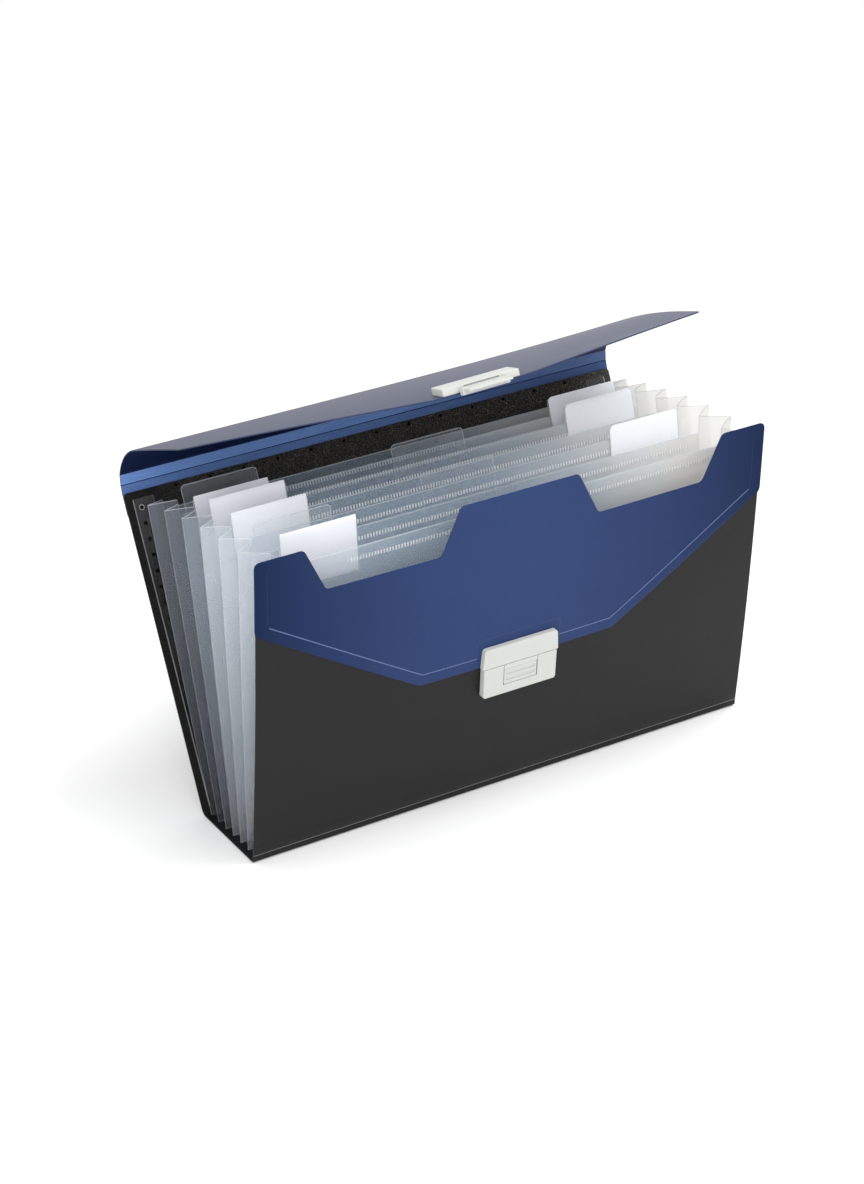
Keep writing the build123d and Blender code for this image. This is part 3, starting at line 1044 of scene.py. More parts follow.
@dataclass
class Cut:
    """A sheet: its two long edges, its thickness and how finely it is divided."""

    name: str
    lower: Edge
    upper: Edge
    thickness: float
    finish: Finish
    rim: Finish | None = None
    rows: int = 24
    spacing: float = 7.0
    edge_round: float = 0.15
    outward: float = -1.0
    row_places: Sequence[float] = ()
    # Faces that take the rim's finish; used for painted highlights and painted shade along edges, folds and the
    # strip's crease
    stressed: Callable[[float, float], bool] | None = None

    def stations(self) -> list[float]:
        """Places along the sheet that get a column of points.

        Returns:
            The places, from left to right.
        """
        left, right = self.upper.points[0][0], self.upper.points[-1][0]
        count = max(1, math.ceil((right - left) / self.spacing))
        wanted = [u for u, _ in self.lower.points + self.upper.points if left <= u <= right]
        fill = [left + (right - left) * k / count for k in range(count + 1)]
        near = self.spacing / 3
        wanted += [u for u in fill if min(abs(u - w) for w in wanted) > near]
        places: list[float] = []
        for u in sorted(wanted):
            if not places or u - places[-1] > LEAST_STEP:
                places.append(u)
        return places

    def build(self, shape: Form) -> bpy.types.Object:
        """Cut the sheet flat, shape it and give it its thickness.

        Args:
            shape: Where a place on the flat sheet lies on the folder.

        Returns:
            The sheet, in metres, at its place.
        """
        columns = self.stations()
        shares = self.row_places or [row / self.rows for row in range(self.rows + 1)]

        def flat(column: int, row: int) -> Triple:
            """Point of the flat sheet."""
            low, high = self.lower.at(columns[column]), self.upper.at(columns[column])
            return columns[column], low + (high - low) * shares[row], 0.0

        sheet = grid(self.name, len(columns) - 1, len(shares) - 1, flat)
        sheet.data.name = self.name
        for finish in (self.finish, self.rim or self.finish):
            sheet.data.materials.append(finish.material())
        if self.stressed:
            for polygon in sheet.data.polygons:
                polygon.material_index = int(self.stressed(polygon.center.x, polygon.center.y))
        form(sheet, shape)
        apply_modifier(
            sheet, "SOLIDIFY", thickness=self.thickness * MM, offset=self.outward, material_offset_rim=1
        )
        if self.edge_round:
            apply_modifier(
                sheet, "BEVEL", width=self.edge_round * MM, segments=EDGE_STEPS, limit_method="ANGLE",
                angle_limit=SHARP_TURN, use_clamp_overlap=True,
            )
        return sheet


def ribbon(name: str, points: Sequence[Point], width: float, height: float, shape: Form) -> bpy.types.Object:
    """A low bead along a line on a sheet.

    Args:
        name: The piece's name.
        points: The line, on the sheet's flat face.
        width: Width of the bead.
        height: Height of its ridge.
        shape: Where a place on the flat sheet lies on the folder.

    Returns:
        The bead, in metres, at its place.
    """
    last = len(points) - 1

    def flat(index: int, row: int) -> Triple:
        """Point of the bead on the flat sheet.

        Args:
            index: The line's point that it lies by.
            row: Its place across the bead.

        Returns:
            The point.
        """
        offset, rise = BEAD_PROFILE[row]
        run = (Vector(points[min(index + 1, last)]) - Vector(points[max(index - 1, 0)])).normalized()
        u, v = points[index]
        return u - run.y * offset * width, v + run.x * offset * width, rise * height

    bead = grid(name, last, len(BEAD_PROFILE) - 1, flat)
    form(bead, shape)
    return bead


def block(
    name: str, size: Triple, middle: Triple, corner: float = 0.0, face_bevel: float = 0.0,
    face_up: bool = True, sharp: float | None = None,
) -> bpy.types.Object:
    """A moulded block, in millimetres on a face.

    Args:
        name: The block's name.
        size: Its size along u, v and n.
        middle: Its middle.
        corner: Radius of its corners, seen along n.
        face_bevel: Width of the bevel round its outer face.
        face_up: Whether the outer face is the one at the higher n.
        sharp: The v of a side whose edges stay sharp.

    Returns:
        The block, not yet at its place.
    """
    made = fresh(name, bpy.ops.mesh.primitive_cube_add, size=1.0, location=middle, scale=size)
    outer = middle[2] + (0.5 if face_up else -0.5) * size[2]

    def free(a: Vector, b: Vector) -> bool:
        """Whether an edge lies off the side that stays sharp."""
        return sharp is None or max(abs(a.y - sharp), abs(b.y - sharp)) > NEAR

    def outside(a: Vector, b: Vector) -> bool:
        """Whether such an edge lies round the outer face."""
        return free(a, b) and max(abs(a.z - outer), abs(b.z - outer)) < NEAR

    if corner:
        bevel(made, lambda a, b: free(a, b) and abs(a.z - b.z) > size[2] / 2, corner, CORNER_STEPS)
    if face_bevel:
        bevel(made, outside, face_bevel, FACE_STEPS)
    return made


def carve(piece: bpy.types.Object, cutter: bpy.types.Object) -> None:
    """Cut one block out of another, and drop the cutter."""
    apply_modifier(piece, "BOOLEAN", operation="DIFFERENCE", object=cutter, solver="EXACT")
    bpy.data.objects.remove(cutter)


def dots(name: str, places: Sequence[Point], radius: float, height: float, shape: Form) -> bpy.types.Object:
    """Low round weld marks on a face.

    Args:
        name: The piece's name.
        places: Their middles on the face.
        radius: Their radius.
        height: Their height.
        shape: Where a place on the face lies on the folder.

    Returns:
        All the marks as one piece, in metres, at their places.
    """
    made = []
    for u, v in places:
        mark = fresh(
            name, bpy.ops.mesh.primitive_cylinder_add, vertices=MARK_SIDES, radius=radius, depth=height,
            location=(u, v, height / 2),
        )
        bevel(mark, lambda a, b: min(a.z, b.z) > height - NEAR, height * MARK_BEVEL, EDGE_STEPS)
        form(mark, shape)
        made.append(mark)
    return join(made)


# Sub-assemblies


@dataclass
class FrontCover:
    """Black front board, the blue sheet over its top and the beads of its weld."""

    folder: Folder
    shoulder: float = 32.6
    notch_run: float = 14.6
    notch_depth: float = 30.0
    crown: float = 86.0
    corner: float = 4.0
    blue_sheet: float = 0.6
    blue_gap: float = 0.1
    blue_lap: float = 1.0
    blue_side: float = 167.0
    blue_foot: float = 99.5
    blue_foot_width: float = 144.0
    blue_corner: float = 5.0
    weld_inset: float = 7.5
    weld_width: float = 0.7
    weld_height: float = 0.09
    weld_end: Point = (1.0, 0.7)
    weld_turn: float = 1.2
    weld_turn_steps: int = 4
    weld_step: float = 6.0
    weld_clasp_reach: float = 30.8
    weld_clasp_top: float = 119.5
    weld_clasp_corner: float = 3.0
    crease_rise: float = 0.6
    crease_width: float = 0.55
    crease_height: float = 0.06
    crease_step: float = 12.0
    body: str = "front_cover"

    def top_edge(self, reach: float) -> Edge:
        """The notched top edge.

        Args:
            reach: How far it runs to each side.

        Returns:
            The edge.
        """
        top = self.folder.front_height
        notch = top - self.notch_depth
        outer = self.folder.half_width - self.shoulder
        inner = self.crown / 2
        return Edge(both_halves([
            Corner(inner, top, self.corner),
            Corner(inner + self.notch_run, notch, self.corner),
            Corner(outer - self.notch_run, notch, self.corner),
            Corner(outer, top, self.corner),
            Corner(reach, top, self.corner),
            Corner(reach, notch),
        ]), guided=True)

    def blue_foot_edge(self, reach: float) -> Edge:
        """The blue sheet's lower edge: two slants down to a level foot.

        Args:
            reach: How far it runs to each side.

        Returns:
            The edge.
        """
        return Edge(both_halves([
            Corner(self.blue_foot_width / 2, self.blue_foot, self.blue_corner),
            Corner(reach, self.blue_side, self.blue_corner),
            Corner(reach, self.folder.front_height),
        ]), guided=True)

    def weld_lines(self) -> tuple[list[list[Point]], list[list[Point]]]:
        """The weld's lines.

        Returns:
            The bright slants, then the fainter runs up the sides and round the clasp.
        """
        half = self.folder.half_width - self.weld_inset
        slope = (self.blue_side - self.blue_foot) / (self.folder.half_width - self.blue_foot_width / 2)
        rise = self.weld_inset * math.hypot(1.0, slope)
        low = self.blue_foot + self.weld_inset
        foot = self.blue_foot_width / 2 - (rise - self.weld_inset) / slope
        high = low + (half - foot) * slope
        end = Corner(half - self.weld_end[0], high - self.weld_end[1])
        reach, top = self.weld_clasp_reach, self.weld_clasp_top
        slant = [Corner(reach, low), Corner(foot, low, self.blue_corner), end]
        riser = [
            end, Corner(half, high, self.weld_turn), Corner(half, self.folder.front_height - self.weld_inset)
        ]
        loop = both_halves([Corner(reach, top, self.weld_clasp_corner), Corner(reach, low)])
        bright, faint = ([[corner.mirrored() for corner in line], line] for line in (slant, riser))
        drawn = [
            [spaced(rounded(line, self.weld_turn_steps), self.weld_step) for line in lines]
            for lines in (bright, [*faint, loop])
        ]
        return drawn[0], drawn[1]

    def build(self) -> None:
        """Make the board, a pale line along its crease as painted highlight, the blue sheet and the weld beads."""
        folder, half = self.folder, self.folder.half_width
        board = Cut(
            "front_board", level(-half, half, folder.front_foot),
            top_with_rounds(-half, half, folder.front_board_height, self.corner), folder.board, BLACK,
            rows=26,
        ).build(folder.bowed)
        hand_over(board, BLACK, self.body, ["front_panel"])
        # A pale bead along the crease: painted highlight
        foot = folder.front_foot + self.crease_rise
        line = spaced([(-half, foot), (half, foot)], self.crease_step)
        crease = ribbon("front_crease_line", line, self.crease_width, self.crease_height, folder.bowed)
        hand_over(crease, CREASE_HIGHLIGHT_BLACK, self.body, smoothing=Smoothing.BEAD)
        reach = half + self.blue_lap
        skin = raised(folder.bowed, self.blue_gap + self.blue_sheet)
        blue = Cut(
            "blue_front_sheet", self.blue_foot_edge(reach), self.top_edge(reach), self.blue_sheet, BLUE,
            rows=18,
        ).build(skin)
        hand_over(blue, BLUE, self.body, ["front_pocket"])
        # The slants take the lighter blue as painted highlight
        for name, finish, lines in zip(("bright", "faint"), (WELD_BLUE_HIGHLIGHT, FAINT_BLUE), self.weld_lines()):
            weld = f"blue_front_weld_{name}"
            beads = [ribbon(weld, line, self.weld_width, self.weld_height, skin) for line in lines]
            hand_over(join(beads), finish, self.body, smoothing=Smoothing.BEAD)


@dataclass
class FrontClasp:
    """Ivory clasp on the front: upper plate, lower housing and the press in its window."""

    folder: Folder
    seat: float = 6.9
    face: float = 11.5
    plate_width: float = 55.6
    plate_height: float = 13.8
    plate_foot: float = 99.6
    plate_seat: float = 7.7
    plate_taper: float = 0.035
    plate_waist: float = 0.4
    housing_width: float = 54.4
    housing_height: float = 21.4
    housing_top: float = 99.2
    corner: float = 2.0
    edge: float = 0.8
    window_width: float = 25.6
    window_height: float = 11.5
    window_foot: float = 6.6
    window_floor: float = 1.2
    slit: float = 0.4
    slit_depth: float = 0.8
    press_side_play: float = 0.65
    press_play: float = 0.2
    press_depth: float = 1.5
    press_recess: float = 0.1
    press_corner: float = 0.8
    press_edge: float = 0.3
    hollow_places: Point = (-0.16, 0.22)
    hollow_share: float = 0.2
    hollow_depth: float = 0.45
    hollow_margin: float = 1.5
    body: str = "front_cover"

    @property
    def window_middle(self) -> float:
        """Height of the window's middle."""
        return self.housing_top - self.housing_height + self.window_foot + self.window_height / 2

    def build(self) -> None:
        """Make the three pieces and dress the rivets."""
        place = self.folder.front.at
        depth = self.face - self.plate_seat
        plate = block(
            "clasp_upper_plate", (self.plate_width, self.plate_height, depth),
            (0.0, self.plate_foot + self.plate_height / 2, self.plate_seat + depth / 2),
            self.corner, self.edge, sharp=self.plate_foot,
        )

        def tapered(u: float, v: float, n: float) -> Vector:
            """The plate, a little narrower at its top."""
            share = (v - self.plate_foot) / self.plate_height
            return place(u * (1.0 - self.plate_taper * (share - self.plate_waist)), v, n)

        form(plate, tapered)
        hand_over(plate, IVORY, self.body, ["clasp_plate"], Smoothing.MOULDED)
        self.build_housing(place)
        self.build_press(place)
        dress("clasp_rivets", IVORY)

    def build_housing(self, place: Form) -> None:
        """Housing with its window and the slits above it.

        Args:
            place: Where a place on the front lies.
        """
        depth = self.face - self.seat
        housing = block(
            "clasp_lower_housing", (self.housing_width, self.housing_height, depth),
            (0.0, self.housing_top - self.housing_height / 2, self.seat + depth / 2),
            self.corner, self.edge, sharp=self.housing_top,
        )
        carve(housing, block(
            "window_cutter", (self.window_width, self.window_height, 2 * (depth - self.window_floor)),
            (0.0, self.window_middle, self.face),
        ))
        slit_foot = self.window_middle + self.window_height / 2
        for side in Side:
            carve(housing, block(
                "slit_cutter", (self.slit, 2 * (self.housing_top - slit_foot), 2 * self.slit_depth),
                (side.value * (self.window_width - self.slit) / 2, self.housing_top, self.face),
            ))
        form(housing, place)
        hand_over(housing, IVORY, self.body, ["clasp_housing"], Smoothing.MOULDED)

    def build_press(self, place: Form) -> None:
        """Press with a finger ridge between two hollows.

        Args:
            place: Where a place on the front lies.
        """
        width = self.window_width - 2 * self.press_side_play
        height = self.window_height - 2 * self.press_play
        top = self.face - self.press_recess
        press = block(
            "clasp_press_tongue", (width, height, self.press_depth),
            (0.0, self.window_middle, top - self.press_depth / 2), self.press_corner, self.press_edge,
        )
        hollow = (width - 2 * self.hollow_margin, height * self.hollow_share, 2 * self.hollow_depth)
        for offset in self.hollow_places:
            carve(press, block("hollow_cutter", hollow, (0.0, self.window_middle + offset * height, top)))
        form(press, place)
        hand_over(press, IVORY, "press", ["clasp_press"], Smoothing.MOULDED)


@dataclass
class BackCover:
    """Back board with its rough inner face, the welds along its top and the ends of the side film."""

    folder: Folder
    corner: float = 2.5
    inner_facing: float = 0.9
    weld_pitch: float = 24.75
    weld_count: int = 13
    weld_drop: float = 2.5
    weld_radius: float = 1.1
    weld_height: float = 0.25
    film: float = 0.4
    margin_width: float = 14.5
    margin_top: float = 205.3
    margin_corner: float = 1.0
    margin_pale: float = 0.5
    dot_count: int = 11
    dot_radius: float = 1.3
    dot_height: float = 0.15
    dot_place: float = 175.0
    dot_drop: float = 6.0
    dot_pitch: float = 10.3
    eyelet_wire: float = 0.3
    eyelet_lift: float = 0.2
    body: str = "back_cover"

    def build(self) -> None:
        """Make the board, its weld marks and the two film margins."""
        folder, half = self.folder, self.folder.half_width
        board = Cut(
            "back_board", level(-half, half, folder.back_foot),
            top_with_rounds(-half, half, folder.back_height, self.corner), folder.board, ROUGH_BLACK,
            BLACK, rows=8, spacing=20.0,
        ).build(folder.back.at)
        for polygon in board.data.polygons:
            if polygon.normal.dot(folder.back.out) < self.inner_facing:
                polygon.material_index = 1
        hand_over(board, BLACK, self.body, ["back_panel"])
        first = -self.weld_pitch * (self.weld_count - 1) / 2
        top = folder.back_height - self.weld_drop
        row = [(first + self.weld_pitch * k, top) for k in range(self.weld_count)]
        marks = dots("strip_weld_marks", row, self.weld_radius, self.weld_height, folder.back.at)
        hand_over(marks, DARK_WELD, self.body, ["strip_welds"], Smoothing.ROUND)
        for side in Side:
            self.build_margin(side)

    def build_margin(self, side: Side) -> None:
        """One margin of clear film, with its row of weld marks and an eyelet round the first, whose pale finish is a
        painted highlight.

        Args:
            side: The end of the folder.
        """
        place = self.folder.back.at
        inner = side.value * self.folder.film_start
        outer = side.value * (self.folder.film_start + self.margin_width)
        left, right = sorted((inner, outer))
        margin = Cut(
            f"film_margin_{side.word}", level(left, right, self.folder.back_foot),
            top_with_rounds(left, right, self.margin_top, self.margin_corner), self.film, MARGIN_FILM_SHADE, FILM_RIM_HIGHLIGHT,
            rows=8, spacing=8.0, edge_round=0.1, outward=1.0,
            # The outer edge takes the paler film: painted highlight
            stressed=lambda u, v: abs(u - outer) < self.margin_pale,
        ).build(place)
        hand_over(margin, MARGIN_FILM_SHADE, self.body, [f"margin_{side.word}"])
        top = self.margin_top - self.dot_drop
        line = [(side.value * self.dot_place, top - k * self.dot_pitch) for k in range(self.dot_count)]
        on_film = raised(place, self.film)
        marks = dots(f"margin_welds_{side.word}", line, self.dot_radius, self.dot_height, on_film)
        hand_over(marks, DARK_WELD, self.body, smoothing=Smoothing.ROUND)
        # Raised ring round the first mark, in the paler film as painted highlight
        eyelet = fresh(
            f"margin_eyelet_{side.word}", bpy.ops.mesh.primitive_torus_add,
            major_radius=self.dot_radius + self.eyelet_wire, minor_radius=self.eyelet_wire,
            major_segments=24, minor_segments=8, location=(*line[0], self.eyelet_lift),
        )
        form(eyelet, on_film)
        hand_over(eyelet, FILM_RIM_HIGHLIGHT, self.body, smoothing=Smoothing.BEAD)


class SideLine:
    """A line in the side view that a sheet follows, by the length along it."""

    def __init__(self, points: Sequence[Vector]) -> None:
        """Keep the line's points and the lengths at them.

        Args:
            points: The points, in millimetres.
        """
        self.points = list(points)
        self.lengths = [0.0]
        for before, after in zip(self.points, self.points[1:]):
            self.lengths.append(self.lengths[-1] + (after - before).length)

    def at(self, length: float) -> tuple[Vector, Vector]:
        """Point at a length, and the direction to the left of the line there.

        Args:
            length: Length along the line; past its end it runs on straight.

        Returns:
            The point and the direction.
        """
        index = 1
        while index < len(self.points) - 1 and self.lengths[index] < length:
            index += 1
        run = (self.points[index] - self.points[index - 1]).normalized()
        point = self.points[index - 1] + run * (length - self.lengths[index - 1])
        return point, Vector((0.0, -run.z, run.y))

    def shape(self, u: float, length: float, n: float) -> Vector:
        """Scene point of a place on a sheet that follows the line."""
        point, left = self.at(length)
        return (point + Vector((u, 0.0, 0.0)) + left * n) * MM


@dataclass
class FlapCover:
    """Blue strip above the back, the rolled flap on its crease and the clasp on the flap."""

    folder: Folder
    strip: float = 0.8
    lap: float = 14.0
    lap_rows: Point = (0.5, 0.9)
    lap_turn: float = 0.6
    lower_band: float = 5.7
    lower_heading: float = 72.0
    upper_band: float = 7.4
    upper_heading: float = 84.0
    bend_room: float = 0.25
    bend_press: float = 0.45
    crease_gap: float = 0.9
    crease_lap: float = 1.2
    crease_sheet: float = 0.5
    flap_sheet: float = 0.8
    start_heading: float = 105.0
    turn: float = 51.0
    roll: float = 40.0
    roll_steps: int = 24
    reach_left: float = 101.0
    reach_right: float = 122.5
    reach_middle: float = 154.0
    middle_width: float = 72.0
    corner: float = 3.0
    middle_corner: float = 8.0
    twist: float = 3.0
    droop: float = 4.0
    swell: float = 5.0
    longest_share: float = 1.25
    under_facing: float = -0.1
    plate_width: float = 56.0
    plate_depth: float = 15.0
    plate_thickness: float = 4.5
    plate_inset: float = 1.0
    plate_corner: float = 1.0
    plate_edge: float = 0.7
    lip_step: float = 1.6
    lip_drop: float = 1.6
    lip_length: float = 4.5
    lip_gap: float = 0.3
    lip_side: float = 1.0
    lip_corner: float = 0.6
    lip_edge: float = 0.4
    tongue_width: float = 32.0
    tongue_length: float = 12.0
    tongue_root: float = 3.0
    tongue_thickness: float = 1.5
    tongue_lift: float = 0.4
    tongue_corner: float = 0.8
    tongue_edge: float = 0.25
    slot_depth: float = 1.2
    slot_height: float = 0.8
    slot_lift: float = 0.5
    lip_slot_share: float = 0.45
    plate_slot_share: float = 0.8
    rivet_inset: float = 6.0
    rivet_radius: float = 3.0
    rivet_height: float = 0.6
    body: str = "flap_cover"

    @cached_property
    def strip_line(self) -> SideLine:
        """The strip's inner face in the side view.

        Returns:
            The line from the strip's lap to the flap's crease.
        """
        back = self.folder.back
        lap_end = back.origin + back.up * self.folder.back_height - back.out * self.folder.board
        bend = lap_end + heading(self.lower_heading) * self.lower_band
        end = bend + heading(self.upper_heading) * self.upper_band
        return SideLine([lap_end - back.up * self.lap, lap_end, bend, end])

    @cached_property
    def strip_end(self) -> float:
        """Length along the strip where it ends, short of the crease."""
        return self.strip_line.lengths[-1] - self.crease_gap / 2

    @cached_property
    def crease(self) -> Vector:
        """The flap's crease on its outer face."""
        return self.strip_line.points[-1] + heading(self.upper_heading - 90) * self.strip

    @cached_property
    def flap_line(self) -> SideLine:
        """The flap's outer face in the side view.

        Returns:
            The line from the flap's crease round the roll and on.
        """
        start = self.crease + heading(self.start_heading) * (self.crease_gap / 2)
        points = [start]
        for step in range(1, self.roll_steps + 1):
            angle = self.start_heading + self.turn * step / self.roll_steps - 90
            points.append(start + (heading(angle) - heading(self.start_heading - 90)) * self.roll)
        return SideLine([*points, points[-1] + heading(self.start_heading + self.turn) * self.reach_middle])

    @cached_property
    def full_length(self) -> float:
        """Length along the flap where its twist is whole."""
        return self.length_at(self.reach_right)

    def length_at(self, reach: float) -> float:
        """Length along the flap of a reach.

        Args:
            reach: The reach, measured straight from the crease.

        Returns:
            The length, measured round the roll.
        """
        line = self.flap_line
        forward = heading(self.start_heading + self.turn)
        return line.lengths[-2] + reach - (line.points[-2] - self.crease).dot(forward)

    def flap_shape(self, u: float, length: float, n: float) -> Vector:
        """The flap with its slight twist, the droop of its middle and its fuller right half.

        Args:
            u: Millimetres along X.
            length: Length along the flap.
            n: Millimetres under its outer face.

        Returns:
            The scene point of that place.
        """
        point, left = self.flap_line.at(length)
        share = min(self.longest_share, max(0.0, length / self.full_length))
        side = u / self.folder.half_width
        lift = self.twist * side * share**2 - self.droop * (1.0 - side**2) * share**3
        lift += self.swell * max(0.0, side) ** 2 * math.sin(math.pi * min(1.0, share))
        return (point + Vector((u, 0.0, lift)) + left * n) * MM

    def build(self) -> None:
        """Make the strip, the crease, the flap and its clasp."""
        self.build_strip()
        self.build_crease()
        self.build_flap()
        self.build_clasp()

    def build_strip(self) -> None:
        """The strip: its lap and two bands, with a pressed crease between them; the lower band and the crease are
        darker as painted shade.
        """
        half, line, end = self.folder.half_width, self.strip_line, self.strip_end
        lap, bend = line.lengths[1:3]
        rows = [
            0.0, *(lap * share for share in self.lap_rows), lap, lap + self.lap_turn,
            bend - self.bend_room, bend, bend + self.bend_room, (bend + end) / 2, end,
        ]

        def creased(u: float, length: float, n: float) -> Vector:
            """The strip, pressed in along the crease between its two bands."""
            pressed = self.bend_press if abs(length - bend) < self.bend_room / 2 else 0.0
            return line.shape(u, length, n - pressed)

        strip = Cut(
            "blue_strip", level(-half, half, 0.0), level(-half, half, end), self.strip, BRIGHT_BLUE,
            CREASE_BLUE_SHADE, spacing=12.0, row_places=[row / end for row in rows], edge_round=0.1,
            # The crease takes the darker blue: painted shade
            stressed=lambda u, length: abs(length - bend) < self.bend_room,
        ).build(creased)
        # The strip's lower band takes a darker copy of its finish: painted shade
        strip.data.materials.append(LOWER_STRIP_SHADE.material())
        for polygon in strip.data.polygons:
            if polygon.material_index == 0 and polygon.center.z < line.points[2].z * MM:
                polygon.material_index = 2
        hand_over(strip, BRIGHT_BLUE, "back_cover", ["flap_strip"], Smoothing.CREASED)

    def build_crease(self) -> None:
        """The thin fold between the strip and the flap, which bends with both."""
        half, end = self.folder.half_width, self.strip_end
        strip = raised(self.strip_line.shape, -self.strip / 2)
        flap = raised(self.flap_line.shape, self.flap_sheet / 2)
        ends = [
            strip(0.0, end - self.crease_lap, 0.0), strip(0.0, end, 0.0),
            flap(0.0, 0.0, 0.0), flap(0.0, self.crease_lap, 0.0),
        ]
        fold = SideLine([point / MM for point in ends])
        piece = Cut(
            "flap_crease", level(-half, half, 0.0), level(-half, half, fold.lengths[-1]), self.crease_sheet,
            FLAP_BLUE, spacing=30.0, row_places=[length / fold.lengths[-1] for length in fold.lengths],
            edge_round=0.0, outward=0.0,
        ).build(fold.shape)
        hand_over(piece, FLAP_BLUE, None)
        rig.blend(piece, "back_cover", "flap_cover", ends[1], ends[2])

    def build_flap(self) -> None:
        """The flap, cut to its outline and rolled."""
        half, side = self.folder.half_width, self.middle_width / 2
        left, right, middle = (
            self.length_at(reach) for reach in (self.reach_left, self.reach_right, self.reach_middle)
        )
        free = Edge([
            Corner(-half, 0.0), Corner(-half, left, self.corner), Corner(-side, middle, self.middle_corner),
            Corner(side, middle, self.middle_corner), Corner(half, right, self.corner), Corner(half, 0.0),
        ], guided=True)
        flap = Cut(
            "blue_flap", level(-half, half, 0.0), free, self.flap_sheet, FLAP_BLUE, FLAP_UNDERSIDE_SHADE, rows=44,
            outward=1.0,
        ).build(self.flap_shape)
        # Faces that look down get the darker copy: painted shade under the flap
        for polygon in flap.data.polygons:
            polygon.material_index = int(polygon.normal.z < self.under_facing)
        hand_over(flap, FLAP_BLUE, self.body, ["flap"])

    def build_clasp(self) -> None:
        """The plate on the flap's outer face, its stepped tongue and its rivets."""
        middle = self.length_at(self.reach_middle - self.plate_inset - self.plate_depth / 2)
        front = middle + self.plate_depth / 2
        lip_back = front + self.plate_inset + self.lip_gap
        lip_depth = self.plate_thickness - self.lip_step
        lip_middle = (self.lip_drop - lip_depth) / 2
        plate = block(
            "flap_clasp_bar", (self.plate_width, self.plate_depth, self.plate_thickness),
            (0.0, middle, -self.plate_thickness / 2), self.plate_corner, self.plate_edge, False,
        )
        lip = block(
            "flap_clasp_lip",
            (self.tongue_width + 2 * self.lip_side, self.lip_length, lip_depth + self.lip_drop),
            (0.0, lip_back + self.lip_length / 2, lip_middle), self.lip_corner, self.lip_edge, False,
        )
        tongue_middle = front + (self.tongue_length - self.tongue_root) / 2
        tongue = block(
            "flap_clasp_tongue",
            (self.tongue_width, self.tongue_length + self.tongue_root, self.tongue_thickness),
            (0.0, tongue_middle, -self.tongue_lift - self.tongue_thickness / 2),
            self.tongue_corner, self.tongue_edge, False,
        )
        for piece, share, place, height in (
            (lip, self.lip_slot_share, lip_back + self.lip_length, lip_middle),
            (plate, self.plate_slot_share, front, -lip_depth - self.slot_lift),
        ):
            slot = (self.tongue_width * share, 2 * self.slot_depth, self.slot_height)
            carve(piece, block("slot_cutter", slot, (0.0, place, height)))
        clasp = join([plate, lip, tongue])
        form(clasp, self.flap_shape)
        hand_over(clasp, IVORY, self.body, ["flap_clasp_plate"], Smoothing.MOULDED)
        reach = self.plate_width / 2 - self.rivet_inset
        rivets = dots(
            "flap_rivet_heads", [(-reach, middle), (reach, middle)], self.rivet_radius, self.rivet_height,
            raised(self.flap_shape, self.flap_sheet),
        )
        hand_over(rivets, IVORY, self.body, ["flap_clasp_rivets"], Smoothing.ROUND)


@dataclass
class Fan:
    """Seven divider sheets, with a row of weld ticks along the top."""

    folder: Folder
    count: int = 7
    sheet: float = 0.5
    corner: float = 3.0
    rows: int = 10
    tick_drop: float = 8.0
    tick_pitch: float = 2.1
    tick_width: float = 0.9
    tick_height: float = 2.7
    tick_relief: float = 0.12
    tick_edge: float = 0.05
    tick_start: float = -112.0
    tick_margin: float = 6.0
    pale_edge: float = 0.7

    def build(self) -> None:
        """Make every sheet."""
        for number in range(1, self.count + 1):
            self.build_sheet(number)

    def build_sheet(self, number: int) -> None:
        """One sheet with its row of weld ticks.

        Args:
            number: The sheet, counted from the front.
        """
        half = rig.box(f"divider_{number}")[1].x / MM
        skin = raised(self.folder.sheet(number).at, self.sheet / 2)
        top = self.folder.sheet_height
        edge = top_with_rounds(-half, half, top, self.corner)
        main = Cut(
            f"divider_sheet_{number}", level(-half, half, 0.0), edge, self.sheet, SHEET, SHEET_RIM_HIGHLIGHT,
            row_places=(*(k / self.rows for k in range(self.rows)), 1.0 - self.pale_edge / top, 1.0),
            # The band along the top takes the paler film: painted highlight
            spacing=16.0, edge_round=0.1, stressed=lambda u, v: v > edge.at(u) - self.pale_edge,
        ).build(skin)
        body = "spine_base" if number == 1 else f"leaf_{number}"
        hand_over(join([main, self.ticks(half, skin)]), SHEET, body, [f"divider_{number}"])

    def ticks(self, half: float, skin: Form) -> bpy.types.Object:
        """The row of weld ticks across a sheet.

        Args:
            half: Half the sheet's length.
            skin: Where a place on the sheet's front lies.

        Returns:
            The row, from the sheet's left tab to its right end.
        """
        count = int((half - self.tick_margin - self.tick_start) / self.tick_pitch)
        middle = (self.tick_start, self.folder.sheet_height - self.tick_drop, self.tick_relief / 2)
        size = (self.tick_width, self.tick_height, self.tick_relief)
        tick = block("weld_ticks", size, middle, face_bevel=self.tick_edge)
        apply_modifier(
            tick, "ARRAY", count=count, use_relative_offset=False, use_constant_offset=True,
            constant_offset_displace=(self.tick_pitch, 0.0, 0.0),
        )
        tick.data.materials.append(TICK.material())
        form(tick, skin)
        return tick


